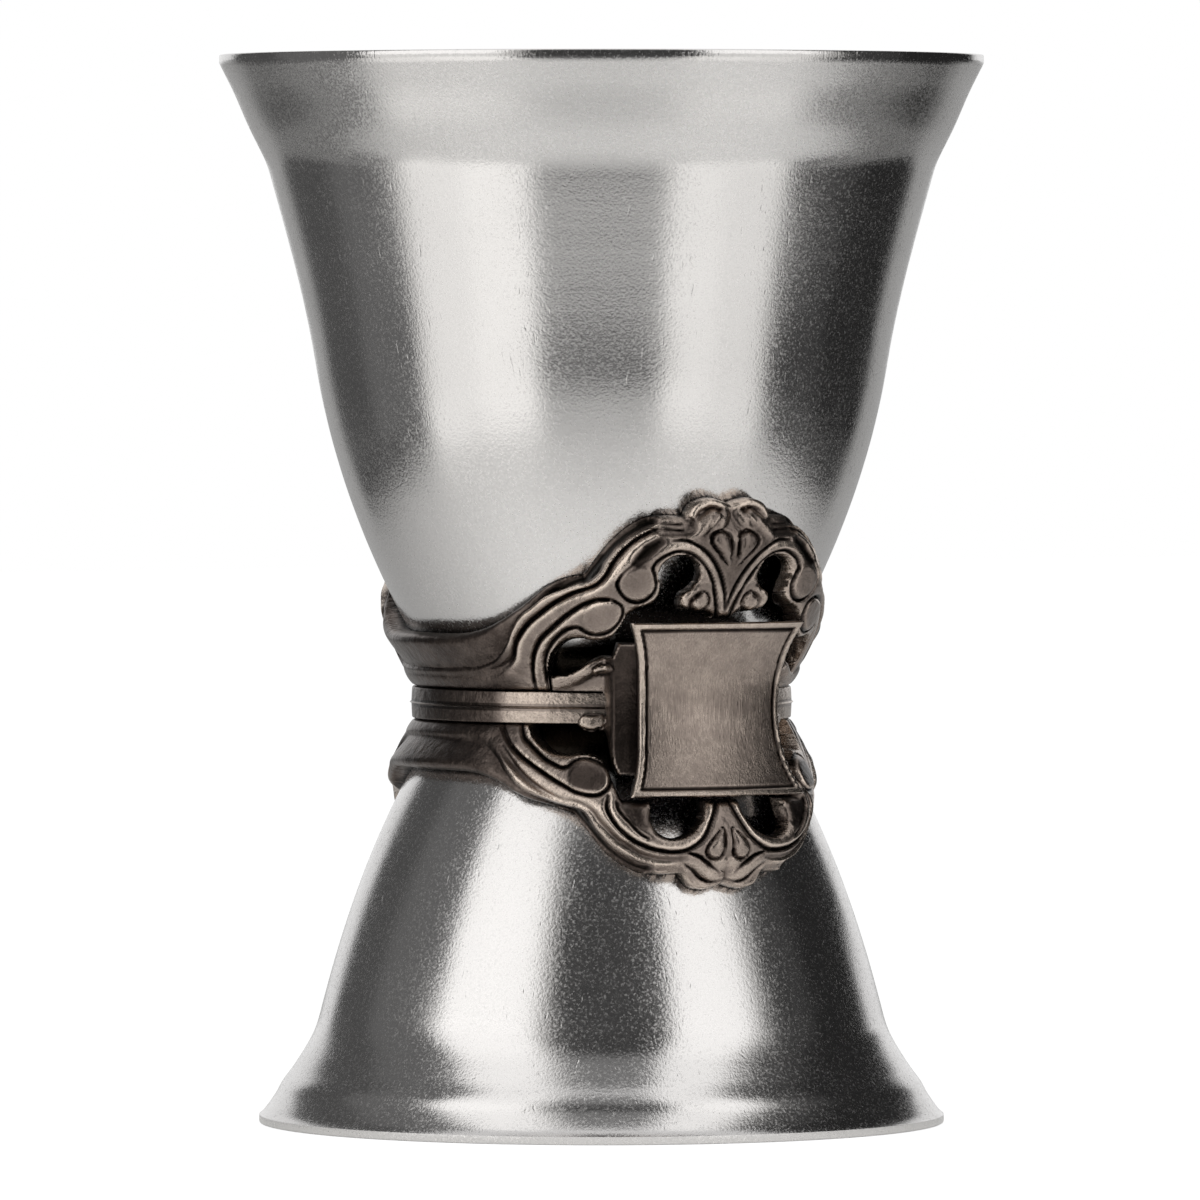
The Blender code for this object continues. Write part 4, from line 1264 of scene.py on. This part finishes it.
# A plate's outline from its top to its bottom, with the sprigs that branch into the collars' openings
PLATE_OUTLINE = (
    [(0, 4.9), (-24.2, 4.9)],
    [(-24.2, 4.9), (-25.1, 4.3), (-25.7, 3.85)],
    [(-25.7, 3.85), (-27.4, 3.95), (-29.5, 3.85), (-32.3, 3.45), (-34.8, 2.92), (-37.9, 2.56), (-42.4, 2.36),
     (-42.9, 1.9), (-42.6, 1.3)],
    [(-42.6, 1.3), (-28, 1.25)],
    [(-28, 1.25), (-27.2, 0.6), (-27.4, 0.0), (-27, -0.5), (-28.6, -0.42), (-31, -0.36), (-33.8, -0.5),
     (-35.3, -1.0), (-34.6, -1.4), (-32, -1.72), (-29.6, -1.66), (-28, -1.6), (-26.9, -2.0)],
    [(-26.9, -2.0), (-26.2, -3.2), (-25.4, -4.2), (-24.2, -4.9)],
    [(-24.2, -4.9), (0, -4.9)],
)
PLATE_RIDGES = (
    [(-42.5, 1.9, 0.5, 0.1), (-38, 2.1, 0.55, 0.25), (-34.5, 2.45, 0.6, 0.4), (-31.5, 2.95, 0.6, 0.4),
     (-29, 3.25, 0.6, 0.3), (-26.6, 3.3, 0.6, 0.1)],
)
PLATE_DROPS = (
    [(-29.9, 2.75, 0.32, 0.4), (-27.9, 2.95, 0.4, 0.45), (-26.4, 2.95, 0.3, 0.35)],
    [(-33.6, -1.0, 0.45, 0.3), (-31, -1.05, 0.56, 0.4), (-28.8, -1.0, 0.45, 0.3)],
)


def plate_half():
    """A backing plate with its sprigs, before it is turned to its place."""
    outline = mirrored(join_runs(PLATE_OUTLINE))
    reach = SPRIG_END * MM_PER_DEGREE
    height = PLATE_HALF_HEIGHT * 1000
    cell = settings().relief_cell * 1000 * PLATE_CELL

    def relief(u, v):
        within = inside_line(u, v, outline)
        gap = np.where(within, line_distance(u, v, outline, True)[0], 0.0)
        face = Relief(-np.abs(u), v, PLATE_SINK)
        for stroke in PLATE_RIDGES:
            face.ridge(stroke)
        for stroke in PLATE_DROPS:
            face.drop(stroke, SPRIG_MOAT)
        face.round_edge(gap, PLATE_ROUND, PLATE_ROUND)
        found = face.finish()
        sprig = step_from(np.abs(u) / MM_PER_DEGREE, *SPRIG_EDGE)
        edge = band(gap, *PLATE_EDGE)
        wear = wear_from(np.where(within, found, BEYOND_PLATE)) * (PLATE_WEAR + (1 - PLATE_WEAR) * sprig)
        return found, np.clip(wear + PLATE_EDGE_SHARE * edge * (1 - sprig), 0.0, 1.0)

    def front(angle, offset):
        sprig = step_from(np.degrees(np.abs(angle)), *SPRIG_ROOT)
        climb = SPRIG_SLOPE * np.clip(np.abs(offset) - SPRIG_START, 0.0, SPRIG_REACH)
        return plate_front(offset) * (1 - sprig) + (plate_back(offset) + SPRIG_THICKNESS + climb) * sprig

    return cast_half(
        outline, grid_lines(-reach, reach, cell), grid_lines(-height, height, cell), relief,
        lambda angle, offset: plate_back(offset), front, False)


def tablet_half():
    """A bare tablet with a raised border, before it is turned to its place."""
    width, height = TABLET_HALF_WIDTH * 1000, TABLET_HALF_HEIGHT * 1000
    scoop = width - TABLET_SIDE_SCOOP * 1000
    side = smooth_run([(-width, height), (-scoop, height / 2), (-scoop, -height / 2), (-width, -height)])
    outline = mirrored(np.vstack([[(0.0, height)], side, [(0.0, -height)]]))
    cell = settings().relief_cell * 1000

    def relief(u, v):
        gap = line_distance(u, v, outline, True)[0]
        face = Relief(u, v, TABLET_SINK)
        border = step_to(gap, *BORDER_EDGE)
        line = band(gap, *BORDER_LINE)
        face.height += BORDER_RISE * border - BORDER_LINE_DEPTH * line
        face.round_edge(gap, TABLET_ROUND, TABLET_ROUND)
        wear = TABLET_WEAR + BORDER_SHARE * border - BORDER_LINE_SHARE * line
        return face.finish(), np.clip(wear, 0.0, 1.0)

    def back(angle, offset):
        return plate_front(offset) + FIT_GAP

    return cast_half(
        outline, grid_lines(-width, width, cell), grid_lines(-height, height, cell), relief,
        back, lambda angle, offset: back(angle, offset) + TABLET_THICKNESS, False)


def cast_pair(kind, half, material):
    """The same casting at the front and at the back."""
    for face, turn in (("front", 0.0), ("rear", math.pi)):
        piece = cast_piece(f"{face}_{kind}_cast", half, (turn,), 1, material)
        finish_piece(piece, f"{face}_{kind}")


# Operators


class JIGGER_OT_cups(bpy.types.Operator):
    """Spin the two steel cups"""

    bl_idname = "jigger.cups"
    bl_label = "Cups"

    def execute(self, context):
        steel = satin_steel()
        for node, form, side in (("upper_cup", UPPER_FORM, 1), ("lower_cup", LOWER_FORM, -1)):
            cup = turn_piece(node + "_spun", cup_profile(form, side), False, steel, CUP_SHARP)
            # Painted shade on the cups round the joint, behind the collars
            set_share(cup.data, "unshaded", unshaded_share(cup.data, form))
            finish_piece(cup, node)
        return {"FINISHED"}


class JIGGER_OT_waist(bpy.types.Operator):
    """Turn the waist ring and finish the braze inside it"""

    bl_idname = "jigger.waist"
    bl_label = "Waist ring and braze"

    def execute(self, context):
        half, corner = RING_HALF + RING_OVERLAP, RING_CORNER
        section = [(RING_BORE, half), (RING_RADIUS - corner, half)]
        # A flat band that swells a little towards one fine pointed bead along its middle
        for height in np.linspace(half - corner, corner - half, BAND_POINTS):
            bead = RIDGE_RISE * max(1 - abs(height) / BEAD_HALF, 0.0) ** 1.2
            section.append((RING_RADIUS + max(bead, RING_SWELL * (1 - (height / half) ** 2)), height))
        section += [(RING_RADIUS - corner, -half), (RING_BORE, -half)]
        profile = [(radius, JOINT_HEIGHT + height) for radius, height in section]
        ring = turn_piece("waist_ring_turned", profile, True, cast_pewter(), RING_SHARP)
        places = mesh_places(ring.data)
        height = np.abs(places[:, 2] - JOINT_HEIGHT)
        bead, hollow, band = RING_WEAR
        wear = np.where(height < BEAD_WORN, bead, np.where(height < HOLLOW_WORN, hollow, band))
        # Lighter beside the plates, and darker towards the sides
        turn = np.degrees(np.arctan2(np.abs(places[:, 0]), np.abs(places[:, 1])))
        wear -= RING_SIDE_SHARE * step_from(turn, *RING_SIDE)
        set_share(ring.data, "wear", wear)
        finish_piece(ring, "waist_ring")
        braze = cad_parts["braze_disc"]
        braze.data.materials.clear()
        braze.data.materials.append(silver_braze())
        return {"FINISHED"}


class JIGGER_OT_collars(bpy.types.Operator):
    """Cast the two pierced collars"""

    bl_idname = "jigger.collars"
    bl_label = "Collars"

    def execute(self, context):
        upper = CollarDrawing(
            UPPER_FORM, 1, UPPER_LEVELS, (UPPER_OUTER, UPPER_INNER), UPPER_COVE_WALL, UPPER_STROKES)
        lower = CollarDrawing(
            LOWER_FORM, -1, LOWER_LEVELS, (LOWER_OUTER, LOWER_INNER), LOWER_COVE_WALL, LOWER_STROKES)
        for node, drawing in (("upper_collar", upper), ("lower_collar", lower)):
            collar = cast_piece(node + "_cast", drawing.half(), (0.0, math.pi), drawing.side, cast_pewter())
            finish_piece(collar, node)
        return {"FINISHED"}


class JIGGER_OT_plates(bpy.types.Operator):
    """Cast the backing plates"""

    bl_idname = "jigger.plates"
    bl_label = "Plates"

    def execute(self, context):
        cast_pair("plate", plate_half(), cast_pewter())
        return {"FINISHED"}


class JIGGER_OT_tablets(bpy.types.Operator):
    """Cast the bare tablets"""

    bl_idname = "jigger.tablets"
    bl_label = "Tablets"

    def execute(self, context):
        cast_pair("tablet", tablet_half(), brushed_pewter())
        return {"FINISHED"}


# Camera: the photograph shows 0.075 mm a pixel at the axis, and its middle is 1.5 pixels left of the axis
IMAGE_WIDTH = 1200
PIXEL = 0.000075
TARGET_SHIFT = 1.5
TARGET_HEIGHT = 0.03915
SENSOR_WIDTH = 36.0

# Floor: its reach, its depth under the jigger, and the glow that a share of the camera's rays see.
# The sky's strength is that of its light on other surfaces.
FLOOR_REACH = 1.5
FLOOR_GAP = 0.00005
FLOOR_GLOW = 1.26
FLOOR_GLOW_SHARE = 0.72
SKY_STRENGTH = 0.5

# Stage lights, in metres. Turns are round the axis, in degrees to the camera's right of the camera.
# Softboxes: name, turn, distance, lowest, highest, width and radiance
SOFTBOXES = (
    ("left_low_inner_softbox", -36.0, 0.1208, 0.0, 0.045, 0.053, 1.02),
    ("left_low_outer_softbox", -60.8, 0.1208, 0.0, 0.045, 0.053, 0.84),
    ("left_softbox", -44.5, 0.118, 0.045, 0.125, 0.104, 0.66),
    ("left_high_softbox", -44.5, 0.118, 0.125, 0.30, 0.104, 0.52),
    ("right_low_inner_softbox", 32.9, 0.12, 0.0, 0.045, 0.0445, 0.84),
    ("right_low_outer_softbox", 54.1, 0.12, 0.0, 0.045, 0.0445, 0.68),
    ("right_softbox", 48.0, 0.118, 0.045, 0.125, 0.088, 0.6),
    ("right_high_softbox", 48.0, 0.118, 0.125, 0.30, 0.088, 0.46),
)
# Floor lamps: name, turn, distance, height, size and power in watts
FILLS = (
    ("front_fill", 5.0, 0.047, 0.05, (0.13, 0.036), 0.03),
    ("far_fill", 0.0, 0.14, 0.05, (0.08, 0.03), 0.006),
    ("right_fill", 85.0, 0.12, 0.06, (0.08, 0.06), 0.018),
    ("left_fill", -85.0, 0.12, 0.06, (0.08, 0.06), 0.008),
)
# Cards: name, start and end to the right of the axis and towards the camera, lowest, highest and shade
FLAGS = (
    ("far_left_flag", (-0.155, -0.187), (-0.155, -0.0445), 0.004, 0.30, 0.105),
    ("near_left_flag", (-0.155, -0.0445), (-0.155, 0.0576), 0.004, 0.30, 0.18),
    ("low_left_flag", (-0.126, -0.14), (-0.126, 0.03), 0.0, 0.013, 0.08),
    ("near_right_flag", (0.155, 0.0763), (0.155, -0.0098), 0.004, 0.30, 0.06),
    ("far_right_flag", (0.155, -0.0098), (0.155, -0.152), 0.004, 0.30, 0.026),
    ("high_right_flag", (0.155, -0.152), (0.155, -0.22), 0.045, 0.30, 0.024),
    ("low_right_flag", (0.126, 0.045), (0.126, -0.11), 0.0, 0.013, 0.03),
    ("front_low_flag", (-0.06, 0.122), (0.064, 0.122), 0.0155, 0.045, 0.165),
    ("front_flag", (-0.06, 0.122), (0.064, 0.122), 0.045, 0.135, 0.07),
    ("front_high_flag", (-0.06, 0.122), (0.064, 0.122), 0.135, 0.30, 0.27),
)


def camera_side(turn):
    """Level direction from the axis, turned by some degrees to the camera's right of the camera."""
    angle = settings().camera_azimuth + math.radians(turn)
    return Vector((math.sin(angle), -math.cos(angle), 0.0))


def add_lamp(name, size, energy, place, rotation):
    """A rectangular lamp, out of the camera's sight."""
    lamp = bpy.data.lights.new(name, "AREA")
    lamp.shape = "RECTANGLE"
    lamp.size, lamp.size_y = size
    lamp.energy = energy
    holder = place_object(name, lamp)
    holder.location = place
    holder.rotation_euler = rotation
    holder.visible_camera = False
    return holder


def add_softbox(name, turn, distance, lowest, highest, width, radiance):
    """An upright softbox that faces the jigger."""
    height = highest - lowest
    place = camera_side(turn) * distance + Vector((0.0, 0.0, (lowest + highest) / 2))
    rotation = (-camera_side(turn)).to_track_quat("-Z", "Y").to_euler()
    holder = add_lamp(name, (width, height), radiance * math.pi * width * height, place, rotation)
    holder.data.color = colour("fffefb")


def add_fill(name, turn, distance, height, size, energy):
    """A lamp that lights the floor, and is kept out of reflections."""
    place = camera_side(turn) * distance + Vector((0.0, 0.0, height))
    holder = add_lamp(name, size, energy, place, (0.0, 0.0, settings().camera_azimuth))
    holder.visible_glossy = False


def bare_tree(holder):
    """An empty node tree for a material or a world."""
    holder.use_nodes = True
    holder.node_tree.nodes.clear()
    return holder.node_tree


def add_sheet(name, points, material):
    """A flat card of four points."""
    mesh = bpy.data.meshes.new(name)
    mesh.from_pydata(points, [], [(0, 1, 2, 3)])
    mesh.materials.append(material)
    sheet = place_object(name, mesh)
    return sheet


def add_flag(name, start, end, lowest, highest, shade):
    """An upright studio card between two places, seen only in reflections."""
    material = bpy.data.materials.new(name)
    tree = bare_tree(material)
    glow = add_node(tree, "ShaderNodeEmission", {"Color": (shade, shade, shade, 1.0), "Strength": 1.0})
    add_node(tree, "ShaderNodeOutputMaterial", {"Surface": glow.outputs["Emission"]})
    points = []
    for (across, near), heights in ((start, (lowest, highest)), (end, (highest, lowest))):
        side = camera_side(90.0) * across + camera_side(0.0) * near
        points += [(side.x, side.y, height) for height in heights]
    flag = add_sheet(name, points, material)
    flag.visible_camera = False
    flag.visible_diffuse = False
    flag.visible_shadow = False


class JIGGER_OT_stage(bpy.types.Operator):
    """Set the floor, the background, the lamps and the camera"""

    bl_idname = "jigger.stage"
    bl_label = "Stage"

    def execute(self, context):
        scene = context.scene
        chosen = settings()
        scene.view_settings.view_transform = "Standard"
        self.make_floor(chosen)
        self.make_world(scene)
        for softbox in SOFTBOXES:
            add_softbox(*softbox)
        for fill in FILLS:
            add_fill(*fill)
        for flag in FLAGS:
            add_flag(*flag)
        self.make_camera(scene, chosen)
        return {"FINISHED"}

    def make_floor(self, chosen):
        """White card seen by the camera and in the metal, with the jigger's shadow kept on it."""
        material = bpy.data.materials.new("matt_white_board")
        tree = bare_tree(material)
        path = add_node(tree, "ShaderNodeLightPath")
        board = add_node(tree, "ShaderNodeBsdfDiffuse", {"Color": (*chosen.floor_colour, 1.0)})
        glow = add_node(tree, "ShaderNodeEmission", {
            "Color": (1.0, 1.0, 1.0, 1.0), "Strength": FLOOR_GLOW})
        share = add_math(tree, "MULTIPLY", path.outputs["Is Camera Ray"], FLOOR_GLOW_SHARE)
        mixed = add_node(tree, "ShaderNodeMixShader", {
            0: share, 1: board.outputs["BSDF"], 2: glow.outputs["Emission"]})
        add_node(tree, "ShaderNodeOutputMaterial", {"Surface": mixed.outputs["Shader"]})
        corners = ((-1, -1), (1, -1), (1, 1), (-1, 1))
        floor = add_sheet("floor", [(FLOOR_REACH * x, FLOOR_REACH * y, 0.0) for x, y in corners], material)
        floor.location.z = -FLOOR_GAP

    def make_world(self, scene):
        """A white background where it is seen or reflected, and half as bright as a light."""
        world = bpy.data.worlds.new("studio")
        scene.world = world
        tree = bare_tree(world)
        path = add_node(tree, "ShaderNodeLightPath")
        seen = add_math(tree, "MAXIMUM", path.outputs["Is Camera Ray"], path.outputs["Is Glossy Ray"])
        clear = add_math(tree, "MAXIMUM", seen, path.outputs["Is Transmission Ray"])
        sky = add_node(tree, "ShaderNodeBackground", {
            "Color": (1.0, 1.0, 1.0, 1.0),
            "Strength": add_range(tree, clear, 0.0, 1.0, SKY_STRENGTH, 1.0)})
        add_node(tree, "ShaderNodeOutputWorld", {"Surface": sky.outputs["Background"]})

    def make_camera(self, scene, chosen):
        """The photograph's own view."""
        data = bpy.data.cameras.new("camera")
        camera = place_object("camera", data)
        place = camera_side(0.0) * chosen.camera_distance + Vector((0.0, 0.0, chosen.camera_height))
        target = Vector((0.0, 0.0, TARGET_HEIGHT)) - camera_side(90.0) * TARGET_SHIFT * PIXEL
        camera.location = place
        camera.rotation_euler = (target - place).to_track_quat("-Z", "Y").to_euler()
        data.sensor_width = SENSOR_WIDTH
        data.lens = SENSOR_WIDTH / (IMAGE_WIDTH * PIXEL) * chosen.camera_distance
        data.clip_start = 0.01
        scene.camera = camera


class JIGGER_PT_sidebar(bpy.types.Panel):
    """Lists the jigger's pieces and settings"""

    bl_idname = "JIGGER_PT_sidebar"
    bl_label = "Cocktail jigger"
    bl_space_type = "VIEW_3D"
    bl_region_type = "UI"
    bl_category = "Jigger"

    def draw(self, context):
        for step in STEPS:
            self.layout.operator(step.bl_idname)
        for name in JiggerSettings.__annotations__:
            self.layout.prop(context.scene.jigger, name)


STEPS = (
    JIGGER_OT_cups, JIGGER_OT_waist, JIGGER_OT_collars,
    JIGGER_OT_plates, JIGGER_OT_tablets, JIGGER_OT_stage,
)
CLASSES = (JiggerSettings, *STEPS, JIGGER_PT_sidebar)


def register():
    for item in CLASSES:
        bpy.utils.register_class(item)
    bpy.types.Scene.jigger = bpy.props.PointerProperty(type=JiggerSettings)


def unregister():
    del bpy.types.Scene.jigger
    for item in reversed(CLASSES):
        bpy.utils.unregister_class(item)


def main():
    register()
    bpy.ops.jigger.cups()
    bpy.ops.jigger.waist()
    bpy.ops.jigger.collars()
    bpy.ops.jigger.plates()
    bpy.ops.jigger.tablets()
    bpy.ops.jigger.stage()


if __name__ == "__main__":
    main()
